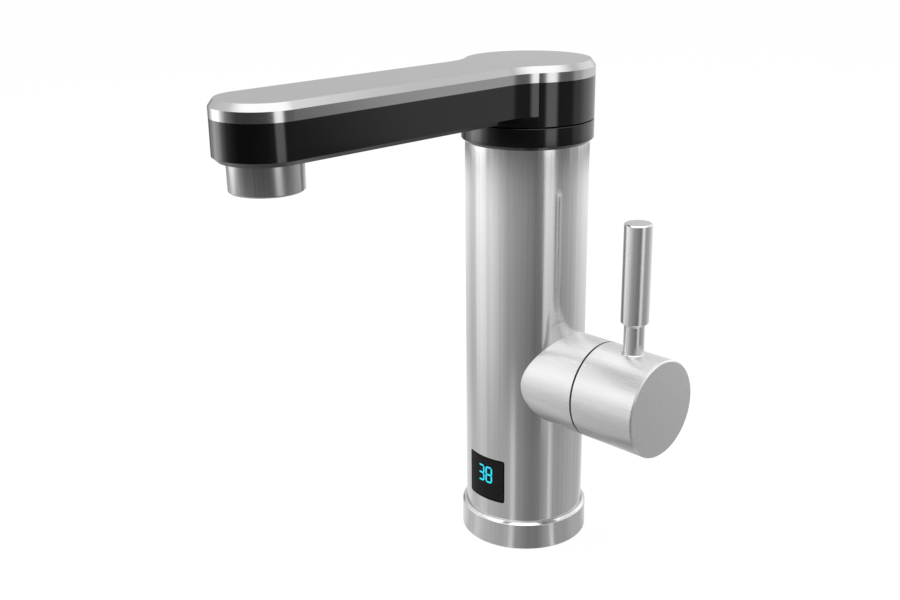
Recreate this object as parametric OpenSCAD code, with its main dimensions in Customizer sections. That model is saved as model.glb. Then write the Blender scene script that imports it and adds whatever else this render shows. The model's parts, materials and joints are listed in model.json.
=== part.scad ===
// Electric instant water heater tap: a stainless column with a swivel spout and a side handle.
// Millimetres. The origin is the centre of the seat on the worktop, Z is up,
// the spout points along -Y and the handle sticks out along +X.

/* [Body] */
// Outer diameter of the stainless body tube
body_d = 60; // [56:0.5:66]
// Wall of the body tube
body_wall = 1.2; // [1:0.1:1.4]
// Length of the body tube
body_h = 208; // [188:1:240]
// Gap between parts that are pushed together and stay still
fit_gap = 0.05; // [0.03:0.01:0.1]
// Radial clearance of a shaft that turns in its bore
run_gap = 0.05; // [0.03:0.01:0.08]
// Gap round a screw or pin in its hole
screw_gap = 0.02; // [0.01:0.01:0.05]

/* [Base] */
// How far the base ring stands out from the tube
ring_overhang = 2.25; // [2.1:0.05:4]
// Height of the base ring
ring_h = 14.5; // [13:0.5:18]
// Height of the bevel at the ring's top
ring_bevel_h = 1.3; // [0.8:0.1:1.8]
// Width of the bevel at the ring's top
ring_bevel_w = 1.8; // [1:0.1:2]
// Thickness of the ring's inward flange, which the tube stands on
ring_floor = 3; // [2.6:0.1:4]
// Width of the ring's inward flange, from the tube's outside to the opening
ring_flange_w = 6; // [5.6:0.1:6.2]
// Width of the sealing gasket under the ring
gasket_w = 1.7; // [1.4:0.1:2]
// Thickness of the sealing gasket
gasket_t = 1.5; // [1:0.1:1.8]
// Distance of the gasket from the ring's outer edge
gasket_edge = 1; // [0.8:0.1:1.2]
// Thickness of the cast base plate
plate_t = 10; // [8:0.5:12]
// Distance between the two threaded holes for the fixing studs
stud_spacing = 40; // [38:0.5:40.5]
// Bore of the stud holes, tapped for M8
stud_hole_d = 6.8; // [5:0.1:7]
// Number of screws that hold the ring to the plate
base_screw_count = 3; // [2:1:3]
// Shank diameter of the small screws in the base and the collar
screw_d = 3; // [2.5:0.1:3.2]
// Head diameter of the small screws
screw_head_d = 4.8; // [4.5:0.1:5.2]
// Length of the screws through the ring's flange
base_screw_l = 9; // [7:0.5:11]
// Length of the grub screws that hold the tube to the plate
plate_screw_l = 5; // [4:0.5:5.5]

/* [Water inlet] */
// Bore of the inlet thread, for a half-inch hose end
inlet_thread_d = 19; // [18.5:0.1:20]
// Depth of the inlet thread
inlet_thread_l = 12; // [10.5:0.5:16]
// Thickness of the web above the thread
inlet_web_t = 1.5; // [1:0.1:3]
// Outer diameter of the inlet socket
inlet_socket_d = 23; // [22.5:0.1:24]
// Diameter of the flange that rests on the base plate
inlet_flange_d = 26; // [25.6:0.1:26.2]
// Outer diameter of the water pipes
pipe_d = 10; // [9:0.5:11]
// Wall of the water pipes
pipe_wall = 1; // [0.8:0.1:1.5]
// Length of the socket that takes a pipe end
pipe_socket_l = 7; // [5:0.5:8]
// Wall round a pipe end in its socket
pipe_socket_wall = 2.5; // [2:0.1:2.8]
// Outer diameter of the flow switch
flow_switch_d = 22; // [20:0.5:25]
// Length of the flow switch
flow_switch_l = 18; // [15:0.5:22]
// Height of the flow switch above the base plate
flow_switch_rise = 21; // [18:0.5:24]

/* [Cable outlet] */
// Gap between the inlet's flange and the gland's flange
gland_gap = 0.3; // [0.2:0.1:0.4]
// Bore of the cable gland
cable_bore_d = 7.8; // [6:0.1:8]
// Outer diameter of the gland's body
gland_d = 11; // [10.5:0.1:12]
// Diameter of the gland's flange on top of the base plate
gland_flange_d = 12.8; // [12.4:0.1:13]
// Thickness of the gland's flange
gland_flange_t = 2; // [1.5:0.1:4]

/* [Display] */
// Height of the display's centre above the worktop
display_z = 35.4; // [33:0.2:38]
// Width of the display window, measured straight across
display_w = 22.2; // [20:0.2:24]
// Height of the display window
display_h = 22.4; // [20:0.2:24]
// Corner radius of the display window
display_corner_r = 1.2; // [0.8:0.1:2]
// Depth of the window's face below the tube's surface
window_recess = 0.15; // [0.1:0.05:0.4]
// Thickness of the window's rim behind the tube wall
window_rim_t = 1.4; // [1:0.1:1.8]
// How far that rim reaches past the window
window_rim_w = 1.4; // [1:0.1:2]
// Gap between the digit module and the window
digit_gap = 0.3; // [0.2:0.1:0.8]
// Width of the digit module
digit_module_w = 18; // [16:0.5:19]
// Height of the digit module
digit_module_h = 14; // [12:0.5:16]
// Thickness of the circuit boards
board_t = 1.6; // [1:0.1:2]
// Width of the circuit boards
board_w = 27; // [24:0.5:28]
// Height of the display board
display_board_h = 32; // [28:0.5:36]
// Height of the power board
power_board_h = 36; // [36:0.5:38]
// Height of the power board's lower edge above the base plate
power_board_rise = 8; // [7:0.5:10]
// Width of the relay
relay_w = 15.5; // [12:0.5:16]
// Height of the relay
relay_h = 16; // [12:0.5:18]
// Distance of the relay below the power board's upper edge
relay_drop = 1; // [0.5:0.1:1.5]
// Gap between the rear edges of the terminal block and the body tube
terminal_gap = 1.8; // [1.5:0.1:3]
// Width of the terminal block
terminal_w = 20; // [18:0.5:21]
// Height of the terminal block
terminal_h = 9; // [8:0.5:11]
// Height of the terminal block above the power board's lower edge
terminal_rise = 2; // [1:0.1:3]
// Diameter of the wire holes in the terminal block
wire_hole_d = 3.6; // [3:0.1:4.2]
// Diameter of the screw holes in the terminal block
terminal_hole_d = 3; // [2.4:0.1:3.4]
// Width of the carrier that holds both boards
carrier_w = 31; // [31:0.5:32]
// Wall of the board carrier
carrier_wall = 2; // [1.6:0.1:2]
// Diameter of the round windows in the carrier's side walls
carrier_window_d = 18; // [14:0.5:20]
// Distance from the tap's axis to the front face of the carrier
carrier_front = 17; // [16:0.1:17.5]
// Distance from the tap's axis to the rear face of the carrier
carrier_rear = 16.5; // [16:0.1:17]
// Height of the board carrier
carrier_h = 46; // [44:0.5:50]
// Height of the wire opening in the carrier's rear wall
carrier_notch_h = 9; // [7:0.5:10]
// Gap on each side of the gland in that opening
carrier_notch_gap = 1; // [0.6:0.1:1.4]

/* [Handle] */
// Height of the handle's axis above the worktop
handle_z = 89.4; // [88:0.2:94]
// Diameter of the boss and the knob
knob_d = 47.4; // [47:0.1:50]
// Distance from the tap's axis to the end of the fixed boss
boss_reach = 49.3; // [48:0.1:56]
// Gap between the boss and the knob
knob_gap = 0.8; // [0.5:0.1:1.2]
// Length of the knob
knob_l = 34.9; // [33:0.1:40]
// Chamfer on the edge of the knob's end
knob_chamfer = 0.7; // [0.4:0.1:1.2]
// Fine chamfer on the edges at the gap
knob_edge = 0.3; // [0.2:0.1:0.5]
// Wall of the boss and the knob
knob_wall = 3; // [2.7:0.1:3.2]
// Thickness of the knob's end
knob_end_t = 4; // [3:0.1:6]
// Diameter of the hub inside the knob
hub_d = 18; // [16:0.5:22]
// Gap between the end of the cartridge's neck and the knob's hub
hub_gap = 4; // [2:0.5:6]

/* [Lever] */
// Distance from the knob's inner edge to the lever
lever_offset = 17.5; // [16:0.1:20]
// Diameter of the lever's stem
stem_d = 9.7; // [9:0.1:10.4]
// Diameter of the beads at the foot and the top of the stem
bead_d = 10.8; // [10.6:0.1:12]
// Height of the beads
bead_h = 0.9; // [0.6:0.1:1.4]
// Depth of the stem's seat below the knob's crown
stem_seat = 1.3; // [1:0.1:1.6]
// Thread diameter of the stem's two ends
stem_thread_d = 6; // [5:0.1:6.4]
// Height of the grip's lower end above the knob's crown
grip_rise = 14.8; // [12:0.1:20]
// Diameter of the grip
grip_d = 13.1; // [12.5:0.1:16]
// Length of the grip
grip_l = 47.7; // [40:0.1:60]
// Chamfer at the grip's ends
grip_chamfer = 0.6; // [0.3:0.1:1]
// Length of the stem's thread in the grip
grip_thread_l = 12; // [8:0.5:20]

/* [Valve] */
// Diameter of the valve manifold inside the column
manifold_d = 32; // [30:0.5:32]
// Distance from the tap's axis to the manifold's closed end
manifold_back = 18; // [17:0.5:20]
// Distance from the tap's axis to the manifold's open end
manifold_front = 23; // [22:0.1:23.3]
// Distance of the pipe ends above and below the handle's axis
port_reach = 21; // [19:0.5:22]
// Distance of the outlet port behind the tap's axis, away from the handle
outlet_port_x = 9; // [8.5:0.5:9.5]
// Diameter of the upright passages
riser_d = 7.6; // [7.5:0.1:7.9]
// Diameter of the level passages through the ceramic discs
passage_d = 6.4; // [5:0.1:6.8]
// Distance of the level passages from the handle's axis
passage_offset = 7; // [6.5:0.1:7.4]
// Depth of the thread that joins the housing to the manifold
housing_thread_l = 6; // [5:0.5:7]
// Diameter of that thread
housing_thread_d = 24; // [22.5:0.5:26]
// Thickness of the housing's base
housing_base_t = 3; // [2.5:0.1:4]
// Diameter of the ceramic cartridge
cartridge_d = 35; // [33:0.1:35.2]
// Length of the cartridge's body
cartridge_l = 16; // [14:0.5:17]
// Wall of the cartridge round its discs
cartridge_wall = 4; // [3:0.1:5]
// Diameter of the cartridge's neck
neck_d = 23; // [20:0.5:26]
// Wall of the housing round the cartridge
housing_wall = 2.4; // [2:0.1:2.4]
// Gap round the housing in the hole of the body tube
side_hole_gap = 0.3; // [0.2:0.05:0.4]
// Thickness of each ceramic disc
disc_t = 3; // [2.5:0.1:3.5]
// Running gap between the two ceramic discs
disc_gap = 0.05; // [0.03:0.01:0.08]
// Radial gap round the moving disc
disc_rim_gap = 0.2; // [0.1:0.05:0.4]
// Depth of the slot in the moving disc
disc_slot_depth = 1.6; // [1:0.1:2]
// Diameter of the valve's spindle
spindle_d = 9; // [8:0.1:10]
// Thickness of the spindle's driving flange
spindle_flange_t = 1.2; // [1:0.1:2]
// Length of the spindle past the lever's thread
spindle_tail = 2; // [1:0.1:4]
// Thickness of the cartridge nut
nut_t = 4; // [3.5:0.1:4.5]
// Thickness of the nut's flange, which clamps the boss
nut_flange_t = 2; // [1.5:0.1:2.5]
// Width of the nut's flange past the boss's bore
nut_flange_w = 1.5; // [1:0.1:1.7]
// Length of the nut's nose that presses on the cartridge
nut_nose = 1; // [0.6:0.1:1.4]
// Width of the four wrench notches in the nut
nut_notch_w = 4; // [3:0.1:6]
// Depth of the wrench notches from the nut's rim
nut_notch_depth = 3; // [2:0.1:3.4]

/* [Heater] */
// Gap between the valve's upper port and the tank's underside
tank_rise = 16.6; // [16:0.1:24]
// Gap between the tank's wall and the body tube
tank_gap = 5.8; // [5.8:0.1:6.8]
// Wall of the tank
tank_wall = 2; // [1.5:0.1:2.5]
// Thickness of the tank's floor
tank_floor = 3; // [2.5:0.1:5]
// Thickness of the tank's flange
tank_flange_t = 4; // [3.5:0.1:6]
// Gap between the tank's flange and the body tube
flange_gap = 0.6; // [0.4:0.1:0.8]
// Thickness of the tank's lid
lid_t = 5; // [4:0.1:7]
// Depth of the lid below the top of the tube
lid_drop = 9; // [9:0.5:12]
// Section diameter of the tank's O-ring
tank_seal_d = 1.6; // [1.4:0.1:1.8]
// Number of screws that hold the lid
lid_screw_count = 6; // [4:1:8]
// Shank diameter of the lid's screws
lid_screw_d = 2.4; // [2:0.1:2.8]
// Head diameter of the lid's screws
lid_screw_head_d = 4.2; // [4:0.1:4.6]
// Head height of the lid's screws
lid_screw_head_h = 1.6; // [1.2:0.1:1.9]
// Least gap between the coil's top and the tank's lid
coil_top_gap = 16; // [14:0.5:20]
// Diameter of the heating element's rod
coil_rod_d = 5; // [4:0.1:5.5]
// Diameter of the coil, measured through the middle of the rod
coil_d = 30; // [28:0.5:33]
// Rise from one turn of the coil to the next
coil_pitch = 8.5; // [7:0.1:9]
// Height of the coil's first turn above the tank's floor
coil_lift = 8; // [6:0.1:9]
// Distance of the element's return leg from the tap's axis
return_leg_x = 5; // [4.5:0.1:5.5]
// Length of the element's legs below the tank
leg_l = 9; // [8:0.1:10]
// Diameter of the ceramic bushings round the legs
bushing_d = 8; // [7.5:0.1:8.6]
// Length of the ceramic bushings below the tank
bushing_l = 5; // [4:0.1:7]
// Diameter of the thermal cut-out
cutout_d = 13; // [11:0.5:14]
// Height of the thermal cut-out
cutout_h = 6; // [5:0.5:8]
// Height of the cut-out's metal cap
cutout_cap_h = 1.5; // [1:0.1:2]
// How far the cap stands out from the cut-out's body
cutout_rim = 1; // [0.5:0.1:1.5]
// Width of the cut-out's contact tabs
tab_w = 3; // [2:0.1:3.6]
// Thickness of the contact tabs
tab_t = 0.8; // [0.5:0.1:1.2]
// Length of the contact tabs below the cut-out
tab_l = 3; // [2:0.1:3.6]
// Distance between the middles of the two contact tabs
tab_spacing = 6; // [5:0.1:7]
// Distance of the thermal cut-out behind the tap's axis
cutout_offset = 14; // [13.5:0.1:15]
// Diameter of the temperature probe
probe_d = 4; // [3:0.1:5]
// Length of the temperature probe below the lid
probe_l = 8; // [6:0.5:8.5]
// Height of the temperature probe's head on the lid
probe_head_h = 3; // [2:0.1:5]
// How far the probe's head reaches past the probe
probe_head_w = 1; // [0.6:0.1:1.4]

/* [Swivel] */
// How far the collar and the spout's head stand out from the tube
head_overhang = 1.85; // [1.8:0.05:4]
// Length of the collar's skirt round the tube's top
collar_skirt = 5.6; // [4:0.1:8]
// Thickness of the collar above the tube
collar_plate_t = 4.7; // [4:0.1:7]
// Height and width of the bevel under the collar
collar_bevel = 1.5; // [1:0.1:1.7]
// Fine chamfer at the seam between collar and spout
seam_chamfer = 0.3; // [0.2:0.1:0.6]
// Gap at the seam between collar and spout
seam_gap = 0.4; // [0.3:0.05:0.7]
// Depth of the collar's inner skirt in the tube
collar_plug_l = 6.5; // [5:0.1:7]
// Wall of the collar's inner skirt
collar_plug_wall = 2; // [1.6:0.1:2.6]
// Number of screws that hold the collar to the lid
collar_screw_count = 3; // [2:1:3]
// Distance of the collar's screws from the tube's bore
collar_screw_edge = 8.8; // [8.3:0.1:9.3]
// Height of the heads of the collar's screws
collar_screw_head_h = 2; // [1.6:0.1:2.4]
// Diameter of the bosses round the collar's screws
collar_boss_d = 8; // [7:0.5:9]
// Length of the collar's screws in the lid
collar_screw_bite = 4; // [3:0.1:4]
// Outer diameter of the water spigot that the spout turns on
spigot_d = 18; // [17:0.1:19]
// Bore of the spigot
spigot_bore_d = 11; // [9:0.1:11.6]
// Diameter of the spigot's thread in the lid
spigot_thread_d = 16; // [14.5:0.1:17]
// Diameter of the spigot's flange on the lid
spigot_flange_d = 25; // [22:0.5:28]
// Thickness of the spigot's flange
spigot_flange_t = 3.5; // [3:0.1:6]
// Gap round the spigot in the collar
spigot_hole_gap = 0.3; // [0.2:0.05:0.5]
// Section diameter of the swivel's O-rings
o_ring_d = 1.8; // [1.5:0.1:2]
// Number of the swivel's O-rings
o_ring_count = 2; // [1:1:2]
// Distance from one O-ring to the next
o_ring_pitch = 3.4; // [3:0.1:3.6]
// Distance of the upper O-ring below the top of its bore
o_ring_drop = 2.2; // [2:0.1:2.4]
// Thickness of the low-friction washer under the spout
washer_t = 0.8; // [0.6:0.1:1.2]
// Width of the low-friction washer
washer_w = 5; // [3:0.1:5.4]
// Thickness of the clip that holds the spout down
clip_t = 1.2; // [1:0.1:1.6]
// How far the clip stands out from the spigot
clip_reach = 1.75; // [1.4:0.05:2]
// Depth of the clip's groove
clip_groove = 1; // [0.8:0.1:1.2]
// Opening angle of the clip
clip_opening = 70; // [50:5:90]
// Length of the spigot above the clip
spigot_tip = 1.9; // [1:0.1:3]

/* [Spout] */
// Distance from the tap's axis to the middle of the outlet
reach = 153.5; // [120:0.5:200]
// Width of the spout's arm
arm_w = 41.6; // [39:0.1:45]
// Radius of the blend between the arm and the head
root_fillet = 30; // [20:1:40]
// Height of the black shell, from the seam to the cover
shell_h = 20.3; // [20:0.1:24]
// Height of the arm's underside above the seam
arm_lift = 3.2; // [3:0.1:3.8]
// Height of the chamfer along the arm's lower edge
arm_chamfer_h = 2; // [1:0.1:3]
// Width of the chamfer along the arm's lower edge
arm_chamfer_w = 2; // [1:0.1:2.4]
// Wall of the spout's shell
shell_wall = 2.5; // [2:0.1:2.8]
// Thickness of the floor of the spout's shell
shell_floor = 2.5; // [2:0.1:3]
// Height of the cover's upright band
cover_band_h = 4.3; // [4:0.1:6]
// Height of the cover's bevel
cover_bevel_h = 2.9; // [1.5:0.1:3.5]
// Width of the cover's bevel
cover_bevel_w = 2.1; // [1:0.1:3.5]
// Thickness of the cover's top
cover_t = 2.6; // [2:0.1:3.4]
// Depth of the cover's lip inside the shell
cover_lip_h = 3; // [2:0.1:3.6]
// Thickness of the cover's lip
cover_lip_t = 1.4; // [1:0.1:2]
// Gap between the cover's lip and the shell
cover_lip_gap = 0.1; // [0.05:0.05:0.3]

/* [Water channel] */
// Wall of the water channel
channel_wall = 2; // [1.6:0.1:2.2]
// Width of the channel's passage
channel_w = 16; // [12:0.5:20]
// Height of the channel's passage
channel_h = 6; // [4.5:0.1:6.6]
// Outer diameter of the channel's socket on the spigot
socket_d = 30; // [28:0.5:34]
// Gap round the socket in the shell's floor
socket_gap = 0.15; // [0.1:0.05:0.3]
// Diameter of the chamber above the spigot
chamber_d = 23; // [22.4:0.1:24]
// Width of the two feet under the channel
channel_foot_w = 6; // [4:0.5:10]
// Diameter of the flange on the shell's floor
channel_flange_d = 37; // [35:0.5:42]
// Thickness of that flange
channel_flange_t = 2; // [1.5:0.1:2.4]
// Distance of the plug's head below the cover
plug_drop = 0.2; // [0.1:0.1:0.5]
// Thickness of the head of the plug that closes the chamber
plug_head_t = 1.8; // [1.2:0.1:3]
// Width of the socket's rim left free round the plug's head
plug_head_edge = 1; // [0.5:0.1:2]
// Depth of that plug
plug_l = 3; // [2.6:0.1:3.4]
// Section diameter of the plug's O-ring
plug_seal_d = 1.4; // [1.2:0.1:1.6]
// Size of the hexagonal key hole in the plug
plug_key_d = 8; // [6:0.5:12]
// Wall of the outlet round the nozzle's bore
outlet_wall = 3.5; // [3:0.1:5]

/* [Aerator] */
// Outer diameter of the aerator's sleeve
sleeve_d = 30.8; // [29.5:0.1:33]
// Length of the sleeve below the spout's arm
sleeve_l = 12.7; // [11:0.1:16]
// Outer diameter of the nozzle inside the sleeve
nozzle_d = 25.2; // [24:0.1:26.4]
// Bore of the nozzle
nozzle_bore_d = 20; // [18:0.1:21.6]
// Length of the aerator's insert
insert_l = 4.8; // [4:0.1:5.6]
// Wall of the insert's rings
insert_ring_w = 1.2; // [0.8:0.1:1.6]
// Diameter of the insert's middle ring
insert_middle_d = 15; // [12:0.5:18]
// Diameter of the insert's core
insert_core_d = 4.8; // [3:0.1:6]
// Width of the insert's ribs
insert_rib_w = 1; // [0.8:0.1:1.4]
// Number of ribs in the aerator's insert
insert_ribs = 8; // [6:1:10]
// Thickness of the lip that holds the insert
sleeve_lip_t = 1.8; // [1.4:0.1:2.6]
// Width of that lip
sleeve_lip_w = 1.8; // [1.2:0.1:2.4]
// Chamfer on the sleeve's lower edge
sleeve_chamfer = 0.6; // [0.3:0.1:1]
// Thickness of the aerator's gasket
aerator_gasket_t = 1.4; // [1:0.1:2]

/* [Hidden] */
$fn = 96;

// How far a cut runs past the face that it opens
cut = 1;
// Depth to which one solid of a piece reaches into the next
sink = 0.2;

// Radii
body_r = body_d / 2;
bore_r = body_r - body_wall;
ring_r = body_r + ring_overhang;
opening_r = body_r - ring_flange_w;
head_r = body_r + head_overhang;
knob_r = knob_d / 2;
pipe_r = pipe_d / 2;
pipe_bore_r = pipe_r - pipe_wall;
pipe_socket_r = pipe_r + fit_gap + pipe_socket_wall;
screw_r = screw_d / 2;
screw_head_r = screw_head_d / 2;

// Base and column
plate_top = ring_floor + plate_t;
body_top = ring_floor + body_h;
base_screw_r = (opening_r + bore_r) / 2;
base_screw_turn = 30;
plate_screw_turn = 60;
plate_screw_count = 3;
inlet_top = ring_floor + inlet_thread_l + inlet_web_t;
gland_offset = inlet_flange_d / 2 + gland_gap + gland_flange_d / 2;
flow_switch_z = plate_top + flow_switch_rise;
flow_switch_top = flow_switch_z + flow_switch_l;
flow_switch_socket = 5;

// Handle and valve, measured along X from the tap's axis
crown_z = handle_z + knob_r;
boss_in_r = knob_r - knob_wall;
knob_x = boss_reach + knob_gap;
knob_end = knob_x + knob_l;
lever_x = knob_x + lever_offset;
housing_r = cartridge_d / 2 + fit_gap + housing_wall;
side_hole_r = housing_r + side_hole_gap;
housing_x = manifold_front + housing_base_t;
cartridge_end = housing_x + cartridge_l;
housing_end = cartridge_end + nut_nose;
nut_end = housing_end + nut_t;
nut_flange_x = nut_end - nut_flange_t;
neck_end = boss_reach - sink;
hub_x = neck_end + hub_gap;
spindle_r = spindle_d / 2;
spindle_end = lever_x + stem_thread_d / 2 + spindle_tail;
disc_bore_r = cartridge_d / 2 - cartridge_wall;
moving_disc_x = housing_x + disc_t + disc_gap;
spindle_x = moving_disc_x + disc_t;
cavity_end = spindle_x + spindle_flange_t + disc_rim_gap;
port_low = handle_z - port_reach;
port_high = handle_z + port_reach;

// Tank and lid: the underside stands over the valve, the lid hangs from the column's top
lid_top = body_top - lid_drop;
tank_top = lid_top - lid_t;
tank_z = port_high + tank_rise;
tank_r = bore_r - tank_gap;
flange_r = bore_r - flange_gap;
lid_screw_r = (tank_r + flange_r) / 2;
lid_screw_l = lid_t + tank_flange_t - cut;
tank_seal_r = (tank_r - tank_wall + lid_screw_r - lid_screw_d / 2) / 2;
coil_r = coil_d / 2;
coil_z = tank_z + tank_floor + coil_lift;
coil_turns = floor((tank_top - coil_top_gap - coil_z) / coil_pitch);
coil_top = coil_z + coil_turns * coil_pitch;

// Swivel and spout
collar_screw_r = bore_r - collar_screw_edge;
collar_screw_turn = 30;
collar_top = body_top + collar_plate_t;
shell_z = collar_top + seam_gap;
arm_z = shell_z + arm_lift;
floor_z = arm_z + shell_floor;
cover_z = shell_z + shell_h;
band_z = cover_z + cover_band_h;
top_z = band_z + cover_bevel_h;
spigot_r = spigot_d / 2;
probe_in = spigot_flange_d / 2 + probe_d / 2 + probe_head_w;
probe_out = tank_r - tank_wall - probe_d / 2;
probe_offset = (probe_in + probe_out) / 2;
socket_z = collar_top + washer_t + run_gap;
socket_top = cover_z - plug_drop;
channel_z = floor_z + channel_flange_t;
chamber_z = channel_z + channel_wall;
chamber_r = chamber_d / 2;
clip_z = chamber_z + run_gap;
spigot_top = clip_z + clip_t + spigot_tip;
o_ring_z = chamber_z - o_ring_drop;
o_ring_groove_r = spigot_r - o_ring_d;
plug_z = socket_top - plug_l;
plug_seal_z = plug_z + plug_l / 2;

// Aerator
nozzle_r = nozzle_d / 2;
sleeve_z = arm_z - sleeve_l;
insert_z = sleeve_z + sleeve_lip_t;
insert_top = insert_z + insert_l;
nozzle_z = insert_top + aerator_gasket_t;

// A round rod along X on the handle's axis, or beside it
module x_rod(x0, x1, r, z = handle_z) {
  translate([x0, 0, z])
    rotate([0, 90, 0])
      cylinder(h = x1 - x0, r = r);
}

// A profile of [radius, distance along X] points turned about the handle's axis
module x_turned(profile) {
  translate([0, 0, handle_z])
    rotate([0, 90, 0])
      rotate_extrude()
        polygon(profile);
}

// A round rod along Z between two heights
module z_rod(z0, z1, r, x = 0, y = 0) {
  translate([x, y, z0])
    cylinder(h = z1 - z0, r = r);
}

// A ring about Z between two heights
module z_ring(z0, z1, r_out, r_in, x = 0, y = 0) {
  difference() {
    z_rod(z0, z1, r_out, x, y);
    z_rod(z0 - cut, z1 + cut, r_in, x, y);
  }
}

// An O-ring about Z
module o_ring(z, r_in, section_d) {
  translate([0, 0, z])
    rotate_extrude()
      translate([r_in + section_d / 2, 0])
        circle(d = section_d, $fn = 32);
}

// Copies round the Z axis
module round_z(count, radius, start = 0) {
  for (i = [0 : count - 1])
    rotate([0, 0, start + i * 360 / count])
      translate([radius, 0, 0])
        children();
}

// A block between two corners
module block(low, high) {
  translate(low)
    cube(high - low);
}

// Points of the spout seen from above, drawn in by an inset: the head, a blend,
// the arm's side, its round end, the other side and the other blend
blend_x = arm_w / 2 + root_fillet;
blend_y = sqrt(pow(head_r - sink + root_fillet, 2) - pow(blend_x, 2));
blend_angle = atan2(blend_y, blend_x);
head_steps = 26;
blend_steps = 7;
tip_steps = 30;
// The blend leaves out the point that it shares with the head
blend_start = blend_angle * blend_steps / (blend_steps + 1);

function arc(cx, cy, r, from, to, steps) =
  [for (i = [0 : steps]) let (a = from + (to - from) * i / steps) [cx + r * cos(a), cy + r * sin(a)]];

function spout_outline(inset) =
  let (r_head = head_r - sink - inset, r_arm = arm_w / 2 - inset, r_blend = root_fillet + inset)
  concat(
    arc(0, 0, r_head, -blend_angle, 180 + blend_angle, head_steps),
    arc(-blend_x, -blend_y, r_blend, blend_start, 0, blend_steps),
    arc(0, -reach, r_arm, 180, 360, tip_steps),
    arc(blend_x, -blend_y, r_blend, 180, 180 - blend_start, blend_steps)
  );

// A solid whose level sections are the spout's outline, from [inset, height] pairs.
// The outline is the same on both sides of X = 0, so each end is a strip of
// triangles between the points of the left side and their mirror images.
module spout_loft(levels) {
  n = len(spout_outline(0));
  last = len(levels) - 1;
  points = [for (level = levels) for (p = spout_outline(level[0])) [p[0], p[1], level[1]]];
  sides = [
    for (i = [0 : last - 1], j = [0 : n - 1])
      let (k = (j + 1) % n)
      for (face = [[i * n + j, (i + 1) * n + j, (i + 1) * n + k], [i * n + j, (i + 1) * n + k, i * n + k]]) face
  ];
  strip = [
    for (j = [head_steps / 2 : head_steps / 2 + n / 2 - 1])
      let (a = (head_steps - j + n) % n, b = (head_steps - j - 1 + n) % n)
      for (face = [[j, j + 1, b], [j, b, a]])
        if (face[0] != face[2] && face[1] != face[2]) face
  ];
  top = [for (f = strip) [last * n + f[2], last * n + f[1], last * n + f[0]]];
  polyhedron(points = points, faces = concat(sides, strip, top));
}

// A rod of round section swept along a path, mitred at each point
function unit(v) = v / norm(v);

function path_directions(path) =
  [for (i = [0 : len(path) - 2]) unit(path[i + 1] - path[i])];

function path_normals(dirs, first) =
  [for (i = 0, u = first; i < len(dirs);
    i = i + 1,
    u = i < len(dirs) ? u - (dirs[i - 1] + dirs[i]) * ((u * dirs[i]) / (1 + dirs[i - 1] * dirs[i])) : u) u];

module swept_rod(path, r, first, sides_n = 8) {
  dirs = path_directions(path);
  normals = path_normals(dirs, first);
  n = len(path);
  rings = [
    for (i = [0 : n - 1])
      let (
        k = min(i, n - 2),
        d = dirs[k],
        u = normals[k],
        w = cross(d, u),
        m = (i == 0 || i == n - 1) ? d : unit(dirs[i - 1] + d)
      )
      [for (j = [0 : sides_n - 1])
        let (a = 360 * j / sides_n, v = r * (cos(a) * u + sin(a) * w))
        path[i] + v - d * ((v * m) / (d * m))]
  ];
  points = [for (ring = rings) for (p = ring) p];
  skin = [
    for (i = [0 : n - 2], j = [0 : sides_n - 1])
      let (a = i * sides_n + j, b = i * sides_n + (j + 1) % sides_n)
      for (face = [[a, a + sides_n, b + sides_n], [a, b + sides_n, b]]) face
  ];
  start = [for (j = [0 : sides_n - 1]) j];
  end = [for (j = [sides_n - 1 : -1 : 0]) (n - 1) * sides_n + j];
  polyhedron(points = points, faces = concat(skin, [start, end]));
}

// Base

module base_ring() {
  groove_r = ring_r - gasket_edge;
  color("silver")
    difference() {
      rotate_extrude()
        polygon([
          [opening_r, 0], [ring_r, 0], [ring_r, ring_h - ring_bevel_h],
          [ring_r - ring_bevel_w, ring_h], [body_r + fit_gap, ring_h],
          [body_r + fit_gap, ring_floor], [opening_r, ring_floor]
        ]);
      z_ring(-cut, gasket_t + fit_gap, groove_r + fit_gap, groove_r - gasket_w - fit_gap);
      round_z(base_screw_count, base_screw_r, base_screw_turn)
        countersunk(ring_floor + cut, fit_gap);
    }
}

// The outline of a countersunk screw, head down, made wider by a gap
module countersunk(length, gap = 0) {
  rotate_extrude($fn = 32)
    polygon([
      [0, -gap], [screw_head_r + gap, -gap], [screw_head_r + gap, 0],
      [screw_r + gap, screw_head_r - screw_r], [screw_r + gap, length], [0, length]
    ]);
}

module base_gasket() {
  groove_r = ring_r - gasket_edge;
  color("#303030")
    z_ring(0, gasket_t, groove_r, groove_r - gasket_w);
}

module base_plate() {
  color("darkgray")
    difference() {
      z_rod(ring_floor, plate_top, bore_r - fit_gap);
      z_rod(ring_floor - cut, plate_top + cut, inlet_socket_d / 2 + fit_gap);
      z_rod(ring_floor - cut, plate_top + cut, gland_d / 2 + fit_gap, 0, gland_offset);
      for (side = [-1, 1])
        z_rod(ring_floor - cut, plate_top + cut, stud_hole_d / 2, side * stud_spacing / 2);
      round_z(base_screw_count, base_screw_r, base_screw_turn)
        z_rod(ring_floor - cut, base_screw_l + screw_gap, screw_r + screw_gap);
      plate_screw_rods(screw_gap);
    }
}

module base_screws() {
  color("gray")
    round_z(base_screw_count, base_screw_r, base_screw_turn)
      countersunk(base_screw_l);
}

// Grub screws through the tube's wall, hidden by the base ring
module plate_screw_rods(gap = 0) {
  for (i = [0 : plate_screw_count - 1])
    rotate([0, 0, plate_screw_turn + i * 360 / plate_screw_count])
      x_rod(body_r - plate_screw_l - gap, body_r - sink / 2 + gap, screw_r + gap, ring_floor + plate_t / 2);
}

module plate_screws() {
  color("gray")
    plate_screw_rods();
}

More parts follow.
